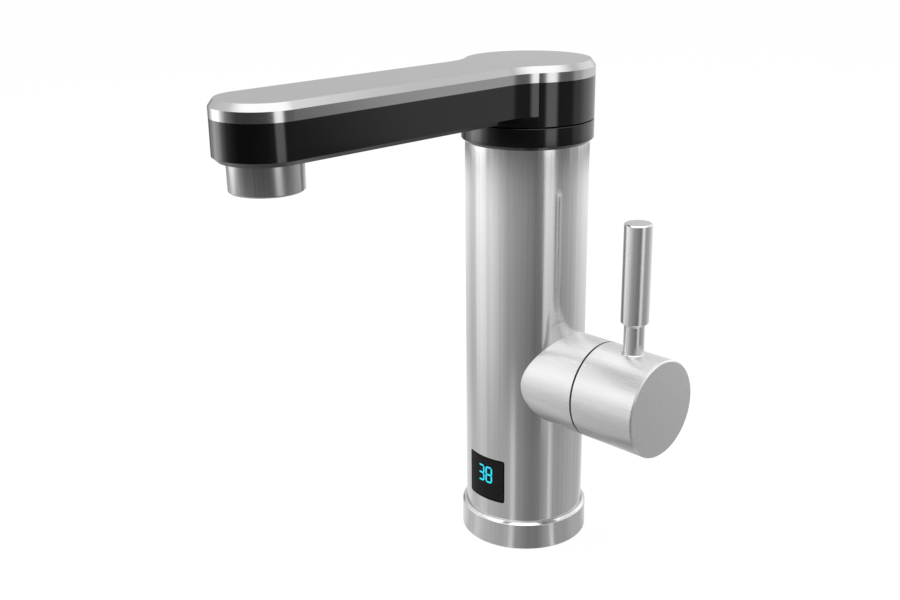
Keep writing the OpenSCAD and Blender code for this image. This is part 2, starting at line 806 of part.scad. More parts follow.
module inlet_socket() {
  color("goldenrod")
    difference() {
      union() {
        z_rod(ring_floor, plate_top + cut / 2, inlet_socket_d / 2);
        z_rod(plate_top, inlet_top, inlet_flange_d / 2);
        z_rod(inlet_top - cut / 2, inlet_top + pipe_socket_l, pipe_socket_r);
      }
      z_rod(ring_floor - cut, ring_floor + inlet_thread_l, inlet_thread_d / 2);
      z_rod(ring_floor, inlet_top + cut, pipe_bore_r);
      z_rod(inlet_top, inlet_top + pipe_socket_l + cut, pipe_r + fit_gap);
    }
}

module cable_gland() {
  color("#202020")
    difference() {
      union() {
        z_rod(ring_floor, plate_top + cut / 2, gland_d / 2, 0, gland_offset);
        z_rod(plate_top, plate_top + gland_flange_t, gland_flange_d / 2, 0, gland_offset);
      }
      z_rod(ring_floor - cut, plate_top + gland_flange_t + cut, cable_bore_d / 2, 0, gland_offset);
    }
}

// A length of water pipe
module pipe(z0, z1, x = 0) {
  z_ring(z0, z1, pipe_r, pipe_bore_r, x);
}

module inlet_pipe() {
  color("peru") {
    pipe(inlet_top, flow_switch_z + flow_switch_socket);
    pipe(flow_switch_top - flow_switch_socket, port_low + pipe_socket_l);
  }
}

module flow_switch() {
  r_socket = pipe_r + fit_gap;
  color("dimgray")
    difference() {
      z_rod(flow_switch_z, flow_switch_top, flow_switch_d / 2);
      z_rod(flow_switch_z - cut, flow_switch_z + flow_switch_socket, r_socket);
      z_rod(flow_switch_top - flow_switch_socket, flow_switch_top + cut, r_socket);
      z_rod(flow_switch_z, flow_switch_top, pipe_bore_r);
    }
}

// Column and electronics

// The display's rectangle with round corners, pushed out along -Y through the wall
module display_prism(grow) {
  w = display_w / 2 + grow;
  h = display_h / 2 + grow;
  r = display_corner_r + max(grow, 0);
  translate([0, 0, display_z])
    rotate([90, 0, 0])
      linear_extrude(height = body_d)
        polygon([
          for (p = concat(
            arc(w - r, h - r, r, 0, 90, 8), arc(r - w, h - r, r, 90, 180, 8),
            arc(r - w, r - h, r, 180, 270, 8), arc(w - r, r - h, r, 270, 360, 8)
          )) p
        ]);
}

module body_tube() {
  color("silver")
    difference() {
      z_ring(ring_floor, body_top, body_r, bore_r);
      display_prism(0);
      x_rod(0, body_d, side_hole_r);
      plate_screw_rods(screw_gap);
    }
}

module display_window() {
  z0 = display_z - display_h;
  z1 = display_z + display_h;
  color("#101012") {
    intersection() {
      z_ring(z0, z1, body_r - window_recess, bore_r - window_rim_t / 2);
      display_prism(-fit_gap);
    }
    intersection() {
      z_ring(z0, z1, bore_r - fit_gap, bore_r - window_rim_t);
      display_prism(window_rim_w);
    }
  }
}

module board_carrier() {
  x = carrier_w / 2;
  w = carrier_wall;
  notch_w = gland_flange_d / 2 + carrier_notch_gap;
  color("#e8e4d8")
    difference() {
      block([-x, -carrier_front, plate_top], [x, carrier_rear, plate_top + carrier_h]);
      block([w - x, w - carrier_front, plate_top - cut], [x - w, carrier_rear - w, plate_top + carrier_h + cut]);
      block(
        [-notch_w, carrier_rear - w - cut, plate_top - cut],
        [notch_w, carrier_rear + cut, plate_top + carrier_notch_h]
      );
      for (side = [-1, 1])
        translate([side * x, 0, plate_top + carrier_h / 2])
          rotate([0, 90, 0])
            cylinder(h = 3 * w, r = carrier_window_d / 2, center = true);
    }
}

// Rim round the wells of the digit module, and their depth
digit_rim = 1;
digit_well = 0.5;
// Distance of the digit module's face from the tap's axis
digit_front = sqrt(pow(bore_r - window_rim_t - digit_gap, 2) - pow(digit_module_w / 2, 2));

// The module has a shallow well for each of its two digits
module digit_module() {
  half = digit_module_w / 2;
  color("#181c20")
    difference() {
      block(
        [-half, -digit_front, display_z - digit_module_h / 2],
        [half, -carrier_front - board_t, display_z + digit_module_h / 2]
      );
      for (side = [-1, 1])
        translate([side * half / 2, -digit_front, display_z])
          cube([half - 2 * digit_rim, 2 * digit_well, digit_module_h - 2 * digit_rim], center = true);
    }
}

module display_board() {
  color("darkgreen")
    block(
      [-board_w / 2, -carrier_front - board_t, display_z - display_board_h / 2],
      [board_w / 2, -carrier_front, display_z + display_board_h / 2]
    );
}

power_board_z = plate_top + power_board_rise;
power_face = carrier_rear + board_t;
// The rear face of the terminal block and the relay clears the tube at the block's edges
terminal_face = sqrt(pow(bore_r - terminal_gap, 2) - pow(terminal_w / 2, 2));

module power_board() {
  color("darkgreen")
    block(
      [-board_w / 2, carrier_rear, power_board_z],
      [board_w / 2, power_face, power_board_z + power_board_h]
    );
}

module power_relay() {
  relay_top = power_board_z + power_board_h - relay_drop;
  color("royalblue")
    block([-relay_w / 2, power_face, relay_top - relay_h], [relay_w / 2, terminal_face, relay_top]);
}

// Three wires come up from below, each held by a screw from behind
module terminal_block() {
  z0 = power_board_z + terminal_rise;
  pitch = terminal_w / 3;
  middle = (power_face + terminal_face) / 2;
  color("seagreen")
    difference() {
      block([-terminal_w / 2, power_face, z0], [terminal_w / 2, terminal_face, z0 + terminal_h]);
      for (i = [-1 : 1]) {
        z_rod(z0 - cut, z0 + terminal_h * 3 / 4, wire_hole_d / 2, i * pitch, middle);
        translate([i * pitch, terminal_face + cut, z0 + terminal_h / 2])
          rotate([90, 0, 0])
            cylinder(h = cut + terminal_face - middle, r = terminal_hole_d / 2, $fn = 32);
      }
    }
}

// Valve

module valve_manifold() {
  thread_x = manifold_front - housing_thread_l;
  color("goldenrod")
    difference() {
      union() {
        x_rod(-manifold_back, manifold_front, manifold_d / 2);
        z_rod(port_low, handle_z, pipe_socket_r);
        z_rod(handle_z, port_high, pipe_socket_r, -outlet_port_x);
      }
      x_rod(thread_x, manifold_front + cut, housing_thread_d / 2 + fit_gap);
      x_rod(-riser_d / 4, manifold_front, passage_d / 2, handle_z - passage_offset);
      x_rod(-outlet_port_x - riser_d / 4, manifold_front, passage_d / 2, handle_z + passage_offset);
      z_rod(port_low, handle_z - passage_offset, riser_d / 2);
      z_rod(handle_z + passage_offset, port_high, riser_d / 2, -outlet_port_x);
      z_rod(port_low - cut, port_low + pipe_socket_l, pipe_r + fit_gap);
      z_rod(port_high - pipe_socket_l, port_high + cut, pipe_r + fit_gap, -outlet_port_x);
    }
}

// The two level passages, above and below the handle's axis
module passages(x0, x1) {
  for (side = [-1, 1])
    x_rod(x0, x1, passage_d / 2, handle_z + side * passage_offset);
}

module cartridge_housing() {
  in_r = cartridge_d / 2 + fit_gap;
  thread_r = housing_thread_d / 2;
  thread_x = manifold_front - housing_thread_l + fit_gap;
  color("goldenrod")
    difference() {
      x_turned([
        [0, thread_x], [thread_r, thread_x], [thread_r, manifold_front], [housing_r, manifold_front],
        [housing_r, housing_end], [in_r, housing_end], [in_r, housing_x], [0, housing_x]
      ]);
      passages(thread_x - cut, housing_x + cut);
    }
}

module valve_boss() {
  color("gainsboro")
    difference() {
      x_turned([
        [boss_in_r, 0], [knob_r, 0], [knob_r, boss_reach - knob_edge], [knob_r - knob_edge, boss_reach],
        [boss_in_r + nut_flange_w + fit_gap * 2, boss_reach],
        [boss_in_r + nut_flange_w + fit_gap * 2, nut_flange_x], [boss_in_r, nut_flange_x]
      ]);
      z_rod(handle_z - knob_d, handle_z + knob_d, body_r + fit_gap);
    }
}

module valve_cartridge() {
  out_r = cartridge_d / 2;
  color("white")
    x_turned([
      [disc_bore_r, housing_x], [out_r, housing_x], [out_r, cartridge_end], [neck_d / 2, cartridge_end],
      [neck_d / 2, neck_end], [spindle_r + run_gap, neck_end], [spindle_r + run_gap, cavity_end],
      [disc_bore_r, cavity_end]
    ]);
}

module cartridge_nut() {
  nose_r = cartridge_d / 2;
  body_end_r = boss_in_r - sink;
  rim_r = boss_in_r + nut_flange_w;
  in_r = neck_d / 2 + fit_gap;
  color("goldenrod")
    difference() {
      x_turned([
        [in_r, cartridge_end], [nose_r, cartridge_end], [nose_r, housing_end], [body_end_r, housing_end],
        [body_end_r, nut_flange_x], [rim_r, nut_flange_x], [rim_r, nut_end], [in_r, nut_end]
      ]);
      for (i = [0 : 3])
        translate([nut_end, 0, handle_z])
          rotate([45 + i * 90, 0, 0])
            block([-nut_flange_t, -nut_notch_w / 2, rim_r - nut_notch_depth], [cut, nut_notch_w / 2, rim_r + cut]);
    }
}

module fixed_disc() {
  color("ivory")
    difference() {
      x_rod(housing_x, housing_x + disc_t, disc_bore_r - fit_gap);
      passages(housing_x - cut, housing_x + disc_t + cut);
    }
}

// Water heater

module tank_pipe() {
  color("peru")
    pipe(port_high - pipe_socket_l, tank_z, -outlet_port_x);
}

module heater_tank() {
  color("lightsteelblue")
    difference() {
      union() {
        z_rod(tank_z, tank_top, tank_r);
        z_rod(tank_top - tank_flange_t, tank_top, flange_r);
        z_rod(tank_z - pipe_socket_l, tank_z + tank_floor / 2, pipe_socket_r, -outlet_port_x);
      }
      z_rod(tank_z + tank_floor, tank_top + cut, tank_r - tank_wall);
      z_rod(tank_z - pipe_socket_l - cut, tank_z, pipe_r + fit_gap, -outlet_port_x);
      z_rod(tank_z - cut, tank_z + tank_floor + cut, pipe_bore_r, -outlet_port_x);
      for (x = [return_leg_x, coil_r])
        z_rod(tank_z - cut, tank_z + tank_floor + cut, coil_rod_d / 2 + fit_gap, x);
      z_ring(
        tank_top - tank_seal_d - fit_gap, tank_top + cut,
        tank_seal_r + tank_seal_d / 2 + fit_gap, tank_seal_r - tank_seal_d / 2 - fit_gap
      );
      round_z(lid_screw_count, lid_screw_r)
        z_rod(lid_top - lid_screw_l - screw_gap, tank_top + cut, lid_screw_d / 2 + screw_gap);
    }
}

// The rod goes up, winds round the coil, turns in at the top and comes down again
module heating_element() {
  steps = 20;
  low = tank_z - leg_l;
  helix = [
    for (i = [0 : coil_turns * steps])
      let (a = 360 * i / steps)
      [coil_r * cos(a), coil_r * sin(a), coil_z + coil_pitch * i / steps]
  ];
  color("darkgray")
    swept_rod(
      concat([[coil_r, 0, low]], helix, [[return_leg_x, 0, coil_top], [return_leg_x, 0, low]]),
      coil_rod_d / 2, [1, 0, 0]
    );
}

module element_bushings() {
  color("white")
    for (x = [return_leg_x, coil_r])
      z_ring(tank_z - bushing_l, tank_z, bushing_d / 2, coil_rod_d / 2 + fit_gap, x);
}

// A round cap under the tank, with a narrower body and two contact tabs below
module thermal_cutout() {
  body_z = tank_z - cutout_h;
  cap_z = tank_z - cutout_cap_h;
  color("#303030") {
    z_rod(body_z, cap_z + sink, cutout_d / 2 - cutout_rim, 0, cutout_offset);
    z_rod(cap_z, tank_z, cutout_d / 2, 0, cutout_offset);
    for (x = [-tab_spacing / 2, tab_spacing / 2])
      block(
        [x - tab_w / 2, cutout_offset - tab_t / 2, body_z - tab_l],
        [x + tab_w / 2, cutout_offset + tab_t / 2, body_z + cut]
      );
  }
}

module tank_seal() {
  color("#303030")
    o_ring(tank_top - tank_seal_d / 2 - fit_gap / 2, tank_seal_r - tank_seal_d / 2, tank_seal_d);
}

module tank_lid() {
  color("lightsteelblue")
    difference() {
      z_rod(tank_top, lid_top, flange_r);
      z_rod(tank_top - cut, lid_top + cut, spigot_thread_d / 2 + screw_gap);
      z_rod(tank_top - cut, lid_top + cut, probe_d / 2 + screw_gap, 0, probe_offset);
      round_z(lid_screw_count, lid_screw_r)
        z_rod(tank_top - cut, lid_top + cut, lid_screw_d / 2 + screw_gap);
      round_z(collar_screw_count, collar_screw_r, collar_screw_turn)
        z_rod(lid_top - collar_screw_bite - screw_gap, lid_top + cut, screw_r + screw_gap);
    }
}

module lid_screws() {
  color("gray")
    round_z(lid_screw_count, lid_screw_r) {
      z_rod(lid_top - lid_screw_l, lid_top + lid_screw_head_h / 2, lid_screw_d / 2);
      z_rod(lid_top, lid_top + lid_screw_head_h, lid_screw_head_d / 2);
    }
}

module temperature_probe() {
  color("tan") {
    z_rod(tank_top - probe_l, lid_top + probe_head_h / 2, probe_d / 2, 0, probe_offset);
    z_rod(lid_top, lid_top + probe_head_h, probe_d / 2 + probe_head_w, 0, probe_offset);
  }
}

// Swivel

module outlet_spigot() {
  groove_r = spigot_r - clip_groove;
  bore = spigot_bore_d / 2;
  thread_r = spigot_thread_d / 2;
  flange_z = lid_top + spigot_flange_t;
  color("goldenrod")
    difference() {
      rotate_extrude()
        polygon([
          [bore, tank_top], [thread_r, tank_top], [thread_r, lid_top], [spigot_flange_d / 2, lid_top],
          [spigot_flange_d / 2, flange_z], [spigot_r, flange_z], [spigot_r, clip_z],
          [groove_r, clip_z], [groove_r, clip_z + clip_t + fit_gap], [spigot_r, clip_z + clip_t + fit_gap],
          [spigot_r, spigot_top], [bore, spigot_top]
        ]);
      for (i = [0 : o_ring_count - 1])
        translate([0, 0, o_ring_z - i * o_ring_pitch])
          z_ring(-o_ring_d / 2 - fit_gap, o_ring_d / 2 + fit_gap, spigot_r + cut, o_ring_groove_r - fit_gap);
    }
}

module spigot_o_rings() {
  color("#303030")
    for (i = [0 : o_ring_count - 1])
      o_ring(o_ring_z - i * o_ring_pitch, o_ring_groove_r, o_ring_d);
}

module swivel_collar() {
  skirt_z = body_top - collar_skirt;
  in_r = spigot_r + spigot_hole_gap;
  plug_r = bore_r - fit_gap;
  plug_in_r = plug_r - collar_plug_wall;
  plug_low = body_top - collar_plug_l;
  color("#181818")
    difference() {
      union() {
        rotate_extrude()
          polygon([
            [in_r, body_top], [in_r, collar_top], [head_r - seam_chamfer, collar_top],
            [head_r, collar_top - seam_chamfer], [head_r, skirt_z + collar_bevel],
            [head_r - collar_bevel, skirt_z], [body_r + fit_gap, skirt_z], [body_r + fit_gap, body_top],
            [plug_r, body_top], [plug_r, plug_low], [plug_in_r, plug_low], [plug_in_r, body_top]
          ]);
        round_z(collar_screw_count, collar_screw_r, collar_screw_turn)
          z_rod(lid_top, body_top + cut, collar_boss_d / 2);
      }
      round_z(collar_screw_count, collar_screw_r, collar_screw_turn) {
        z_rod(lid_top - cut, collar_top + cut, screw_r + screw_gap);
        z_rod(collar_top - collar_screw_head_h, collar_top + cut, screw_head_r + fit_gap);
      }
    }
}

module collar_screws() {
  head_z = collar_top - collar_screw_head_h;
  color("gray")
    round_z(collar_screw_count, collar_screw_r, collar_screw_turn) {
      z_rod(lid_top - collar_screw_bite, head_z + cut / 2, screw_r);
      z_rod(head_z, collar_top - sink, screw_head_r);
    }
}

module swivel_washer() {
  in_r = spigot_r + spigot_hole_gap;
  color("white")
    z_ring(collar_top, collar_top + washer_t, in_r + washer_w, in_r);
}

module retaining_clip() {
  out_r = spigot_r + clip_reach;
  in_r = spigot_r - clip_groove + fit_gap;
  half = clip_opening / 2;
  far = out_r * 2;
  color("gray")
    difference() {
      z_ring(clip_z, clip_z + clip_t, out_r, in_r);
      translate([0, 0, clip_z - cut])
        linear_extrude(height = clip_t + 2 * cut)
          polygon([[0, 0], [far * sin(half), far * cos(half)], [-far * sin(half), far * cos(half)]]);
    }
}

// Spout

module spout_shell() {
  color("#141414")
    difference() {
      union() {
        spout_loft([[arm_chamfer_w, arm_z], [0, arm_z + arm_chamfer_h], [0, cover_z]]);
        rotate_extrude()
          polygon([
            [0, shell_z], [head_r - seam_chamfer, shell_z], [head_r, shell_z + seam_chamfer],
            [head_r, cover_z], [0, cover_z]
          ]);
      }
      spout_loft([[shell_wall, floor_z], [shell_wall, cover_z + cut]]);
      z_rod(shell_z - cut, floor_z + cut, socket_d / 2 + socket_gap);
      z_rod(arm_z - cut, floor_z + cut, nozzle_r + socket_gap, 0, -reach);
    }
}

module spout_channel() {
  half = channel_w / 2;
  outlet_r = nozzle_bore_d / 2 + outlet_wall;
  roof_z = chamber_z + channel_h;
  color("#f0f0ee")
    difference() {
      union() {
        z_rod(socket_z, socket_top, socket_d / 2);
        z_rod(floor_z, channel_z, channel_flange_d / 2);
        block([-half - channel_wall, -reach, channel_z], [half + channel_wall, 0, roof_z + channel_wall]);
        z_rod(floor_z, roof_z + channel_wall, outlet_r, 0, -reach);
        z_rod(nozzle_z, floor_z + cut, nozzle_r, 0, -reach);
        for (i = [1 : 2])
          translate([0, -i * reach / 3, 0])
            block([-half, -channel_foot_w / 2, floor_z], [half, channel_foot_w / 2, channel_z + cut]);
      }
      z_rod(socket_z - cut, chamber_z + cut, spigot_r + run_gap);
      z_rod(chamber_z, socket_top + cut, chamber_r);
      block([-half, -reach, chamber_z], [half, 0, roof_z]);
      z_rod(nozzle_z - cut, roof_z, nozzle_bore_d / 2, 0, -reach);
    }
}

module channel_plug() {
  r = chamber_r - fit_gap;
  groove_r = chamber_r - plug_seal_d - fit_gap;
  half = plug_seal_d / 2 + fit_gap;
  head_edge_r = socket_d / 2 - plug_head_edge;
  color("#d8d8d0")
    difference() {
      rotate_extrude()
        polygon([
          [0, plug_z], [r, plug_z], [r, plug_seal_z - half], [groove_r, plug_seal_z - half],
          [groove_r, plug_seal_z + half], [r, plug_seal_z + half], [r, socket_top],
          [head_edge_r, socket_top], [head_edge_r, socket_top + plug_head_t], [0, socket_top + plug_head_t]
        ]);
      translate([0, 0, socket_top])
        cylinder(h = plug_head_t + cut, d = plug_key_d, $fn = 6);
    }
}

module plug_seal() {
  color("#303030")
    o_ring(plug_seal_z, chamber_r - plug_seal_d - fit_gap / 2, plug_seal_d);
}

module spout_cover() {
  lip = shell_wall + cover_lip_gap;
  hollow = lip + cover_lip_t;
  color("lightgray")
    difference() {
      union() {
        spout_loft([[0, cover_z], [0, band_z], [cover_bevel_w, top_z]]);
        rotate_extrude()
          polygon([
            [0, cover_z], [head_r, cover_z], [head_r, band_z], [head_r - cover_bevel_w, top_z], [0, top_z]
          ]);
        spout_loft([[lip, cover_z - cover_lip_h], [lip, cover_z + cut]]);
      }
      spout_loft([[hollow, cover_z - cover_lip_h - cut], [hollow, top_z - cover_t]]);
    }
}

// Aerator

module at_outlet() {
  translate([0, -reach, 0])
    children();
}

module aerator_sleeve() {
  r = sleeve_d / 2;
  in_r = nozzle_r + fit_gap;
  lip_r = in_r - sleeve_lip_w;
  color("gainsboro")
    at_outlet()
      rotate_extrude()
        polygon([
          [lip_r, sleeve_z], [r - sleeve_chamfer, sleeve_z], [r, sleeve_z + sleeve_chamfer], [r, arm_z],
          [in_r, arm_z], [in_r, insert_z], [lip_r, insert_z]
        ]);
}

module aerator_insert() {
  r = nozzle_r - fit_gap;
  middle_r = insert_middle_d / 2;
  color("whitesmoke")
    at_outlet() {
      z_ring(insert_z, insert_top, r, r - insert_ring_w);
      z_ring(insert_z, insert_top, middle_r, middle_r - insert_ring_w);
      z_rod(insert_z, insert_top, insert_core_d / 2);
      for (i = [0 : insert_ribs - 1])
        rotate([0, 0, i * 360 / insert_ribs])
          block([insert_rib_w, -insert_rib_w / 2, insert_z], [r - insert_ring_w / 2, insert_rib_w / 2, insert_top]);
    }
}

module aerator_gasket() {
  color("#303030")
    at_outlet()
      z_ring(insert_top, nozzle_z, nozzle_r - fit_gap, nozzle_bore_d / 2);
}

// Handle

module handle_knob() {
  in_x = knob_end - knob_end_t;
  shaft_r = spindle_r + screw_gap;
  hub_r = hub_d / 2;
  color("gainsboro")
    difference() {
      x_turned([
        [0, knob_end], [knob_r - knob_chamfer, knob_end], [knob_r, knob_end - knob_chamfer],
        [knob_r, knob_x + knob_edge], [knob_r - knob_edge, knob_x], [boss_in_r, knob_x], [boss_in_r, in_x],
        [hub_r, in_x], [hub_r, hub_x], [shaft_r, hub_x], [shaft_r, spindle_end + sink],
        [0, spindle_end + sink]
      ]);
      z_rod(crown_z - stem_seat, crown_z + cut, bead_d / 2 + fit_gap, lever_x);
      z_rod(handle_z, crown_z, stem_thread_d / 2 + screw_gap, lever_x);
    }
}

module valve_spindle() {
  color("goldenrod") {
    x_rod(spindle_x, spindle_x + spindle_flange_t, disc_bore_r - disc_rim_gap - cut);
    x_rod(spindle_x + spindle_flange_t / 2, spindle_end, spindle_r);
  }
}

// A level slot joins the two passages when the disc is turned a quarter
module moving_disc() {
  r = disc_bore_r - disc_rim_gap;
  slot_r = passage_d / 2;
  color("ivory")
    difference() {
      x_rod(moving_disc_x, moving_disc_x + disc_t, r);
      for (side = [-1, 1])
        translate([0, side * passage_offset, 0])
          x_rod(moving_disc_x - cut, moving_disc_x + disc_slot_depth, slot_r);
      block(
        [moving_disc_x - cut, -passage_offset, handle_z - slot_r + sink],
        [moving_disc_x + disc_slot_depth, passage_offset, handle_z + slot_r - sink]
      );
    }
}

grip_z = crown_z + grip_rise;

module lever_stem() {
  r = stem_d / 2;
  bead_r = bead_d / 2;
  thread_r = stem_thread_d / 2;
  low = handle_z + spindle_r + screw_gap;
  seat_z = crown_z - stem_seat;
  bead_rise = bead_r - r;
  color("gainsboro")
    translate([lever_x, 0, 0])
      rotate_extrude()
        polygon([
          [0, low], [thread_r, low], [thread_r, seat_z], [bead_r, seat_z], [bead_r, crown_z + bead_h - bead_rise],
          [r, crown_z + bead_h], [r, grip_z - bead_h - bead_rise], [bead_r, grip_z - bead_h], [bead_r, grip_z],
          [thread_r, grip_z], [thread_r, grip_z + grip_thread_l], [0, grip_z + grip_thread_l]
        ]);
}

module lever_grip() {
  r = grip_d / 2;
  c = grip_chamfer;
  thread_r = stem_thread_d / 2 + screw_gap;
  hole_top = grip_z + grip_thread_l + sink;
  color("gainsboro")
    translate([lever_x, 0, 0])
      rotate_extrude()
        polygon([
          [thread_r, grip_z], [r - c, grip_z], [r, grip_z + c], [r, grip_z + grip_l - c],
          [r - c, grip_z + grip_l], [0, grip_z + grip_l], [0, hole_top], [thread_r, hole_top]
        ]);
}

base_ring();
base_gasket();
base_plate();
base_screws();
plate_screws();
inlet_socket();
cable_gland();
inlet_pipe();
flow_switch();
body_tube();
board_carrier();
display_window();
digit_module();
display_board();
power_board();
power_relay();
terminal_block();
valve_manifold();
cartridge_housing();
valve_boss();
valve_cartridge();
cartridge_nut();
fixed_disc();
tank_pipe();
heater_tank();
heating_element();
element_bushings();
thermal_cutout();
tank_seal();
tank_lid();
lid_screws();
temperature_probe();
outlet_spigot();
spigot_o_rings();
swivel_collar();
collar_screws();
swivel_washer();
retaining_clip();
spout_shell();
spout_channel();
channel_plug();
plug_seal();
spout_cover();
aerator_sleeve();
aerator_insert();
aerator_gasket();
handle_knob();
valve_spindle();
moving_disc();
lever_stem();
lever_grip();
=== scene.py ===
# %% [markdown]
# # A water heater tap, seen in a bright studio
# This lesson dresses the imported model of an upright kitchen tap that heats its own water.
# The model comes in as a fixed frame, and every new piece is built in that frame, in metres.
# The long curved metal and gloss surfaces are made again here with smooth shading,
# because a mirror-like surface shows every small flat of a plain mesh.

# %% Load the frame
import bpy
import json
from math import atan2, cos, degrees, pi, radians, sin, sqrt
from mathutils import Matrix, Vector


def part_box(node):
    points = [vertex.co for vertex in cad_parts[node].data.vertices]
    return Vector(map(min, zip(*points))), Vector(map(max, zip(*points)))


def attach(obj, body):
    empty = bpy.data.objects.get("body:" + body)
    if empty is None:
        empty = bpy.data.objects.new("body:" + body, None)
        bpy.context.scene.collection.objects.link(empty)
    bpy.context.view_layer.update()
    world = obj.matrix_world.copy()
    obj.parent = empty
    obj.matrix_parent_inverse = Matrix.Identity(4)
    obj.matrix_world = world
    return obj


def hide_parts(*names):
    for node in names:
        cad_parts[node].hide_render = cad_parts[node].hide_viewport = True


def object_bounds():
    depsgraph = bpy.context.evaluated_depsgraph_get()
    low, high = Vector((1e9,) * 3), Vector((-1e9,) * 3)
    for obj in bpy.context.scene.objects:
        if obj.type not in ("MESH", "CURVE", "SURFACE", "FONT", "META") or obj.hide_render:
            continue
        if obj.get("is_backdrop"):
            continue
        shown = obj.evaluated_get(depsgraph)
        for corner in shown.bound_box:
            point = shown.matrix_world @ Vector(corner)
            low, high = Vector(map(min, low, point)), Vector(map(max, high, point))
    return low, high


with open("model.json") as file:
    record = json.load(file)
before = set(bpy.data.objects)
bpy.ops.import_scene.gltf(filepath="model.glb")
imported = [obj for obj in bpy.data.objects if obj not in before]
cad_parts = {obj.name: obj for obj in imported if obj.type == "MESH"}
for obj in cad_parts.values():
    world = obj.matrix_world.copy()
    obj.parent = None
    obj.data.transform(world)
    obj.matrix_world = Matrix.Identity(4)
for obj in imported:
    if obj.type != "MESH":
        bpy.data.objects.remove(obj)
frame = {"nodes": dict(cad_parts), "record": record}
cad_low, cad_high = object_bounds()
MM = 0.001
print("CAD box in mm", [round(v / MM, 1) for v in (*cad_low, *cad_high)])

# %% [markdown]
# ## Sizes from the frame
# Each new piece takes its place from the node that it stands for. The sizes could be typed in again,
# but a helper that reads the lowest and highest corner of a node keeps the two models in step.

# %% Read the main sizes
def low(node):
    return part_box(node)[0]


def high(node):
    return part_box(node)[1]


def half_width(node):
    """Half a node's width in millimetres, which is the radius of an upright round piece."""
    return (high(node).x - low(node).x) / 2 / MM


def in_mm(length):
    return round(length / MM, 2)


# These are in metres. The sections further down are drawn in millimetres
TUBE_R = high("body_tube").x
TUBE_LOW = low("body_tube").z
TUBE_TOP = high("body_tube").z
RING_R = high("base_ring").x
HEAD_R = high("swivel_collar").x
REACH = -(low("aerator_sleeve").y + high("aerator_sleeve").y) / 2
ARM_R = -low("spout_shell").y - REACH
SEAM_Z = low("spout_shell").z
COVER_Z = high("spout_shell").z
TOP_Z = high("spout_cover").z
KNOB_R = high("handle_knob").y
KNOB_X = low("handle_knob").x
KNOB_END = high("handle_knob").x
HANDLE_Z = (low("handle_knob").z + high("handle_knob").z) / 2
LEVER_X = (low("lever_grip").x + high("lever_grip").x) / 2
print("tube radius", in_mm(TUBE_R), "reach", in_mm(REACH), "arm half width", in_mm(ARM_R))
print("handle height", in_mm(HANDLE_Z), "lever at", in_mm(LEVER_X))

# %% [markdown]
# ## Camera
# The photograph looks down on the tap from the handle's side. A camera can be aimed by eye, but the
# round edges of the tap tell more: this one stands where a fit of them put it, in a frame of 900 by 600.

# %% Place the camera
CAMERA_AT = Vector((375.8, -421.1, 313.06)) * MM
CAMERA_HEADING = 45.611
CAMERA_PITCH = 18.572
CAMERA_ROLL = -0.666
CAMERA_LENS = 47.25
SENSOR_WIDTH = 36
NEAREST_SEEN = 10 * MM

camera_data = bpy.data.cameras.new("photo_camera")
camera_data.lens = CAMERA_LENS
camera_data.sensor_width = SENSOR_WIDTH
camera_data.clip_start = NEAREST_SEEN
camera = bpy.data.objects.new("photo_camera", camera_data)
bpy.context.scene.collection.objects.link(camera)
camera.location = CAMERA_AT
camera.rotation_euler = (
    Matrix.Rotation(radians(CAMERA_HEADING), 3, "Z")
    @ Matrix.Rotation(radians(90 - CAMERA_PITCH), 3, "X")
    @ Matrix.Rotation(radians(CAMERA_ROLL), 3, "Z")
).to_euler()
bpy.context.scene.camera = camera
print("camera distance", round(CAMERA_AT.length, 3))

# %% [markdown]
# ## Working by hand, in code
# Every piece starts as a primitive that is shaped in edit mode, as it would be with the mouse.
# An operator acts on all that is selected, so each piece starts with nothing selected.
# A section or an outline starts as a single vertex, which is extruded from point to point.

# %% Helpers for starting and closing a piece
MERGE_WITHIN = 0.002 * MM


def only(piece):
    """Selects one piece and nothing else."""
    bpy.ops.object.select_all(action="DESELECT")
    piece.select_set(True)
    bpy.context.view_layer.objects.active = piece


def start_point(name, at):
    """A piece that is one vertex: a small plane whose corners are merged."""
    bpy.ops.object.select_all(action="DESELECT")
    bpy.ops.mesh.primitive_plane_add(size=2 * MM, location=(0, 0, 0))
    piece = bpy.context.object
    piece.name = name
    piece.data.name = name
    bpy.ops.object.mode_set(mode="EDIT")
    bpy.ops.mesh.merge(type="CENTER")
    bpy.ops.transform.translate(value=at)
    return piece


def draw_on(start, points):
    """Extrudes the selected vertex from point to point."""
    last = Vector(start)
    for point in points:
        step = Vector(point) - last
        bpy.ops.mesh.extrude_region_move(TRANSFORM_OT_translate={"value": step})
        last = Vector(point)


def close_up(piece):
    """Merges doubles and turns all faces outwards, then leaves edit mode."""
    bpy.ops.mesh.select_all(action="SELECT")
    bpy.ops.mesh.remove_doubles(threshold=MERGE_WITHIN)
    bpy.ops.mesh.normals_make_consistent(inside=False)
    bpy.ops.object.mode_set(mode="OBJECT")
    return piece


def tell(piece):
    print(piece.name, "has", len(piece.data.polygons), "faces")


# %% [markdown]
# ## Turned pieces
# Rings, tubes and knobs come off a lathe. Cylinders and insets could stand for them, but a section that
# is drawn once and spun gives every step and chamfer at its own size.
# The spin has many steps, because these surfaces mirror the studio.

# %% Spin a section round an axis
PLAIN_STEPS = 160
FINE_STEPS = 256
KNOB_STEPS = 224
LEVER_STEPS = 96


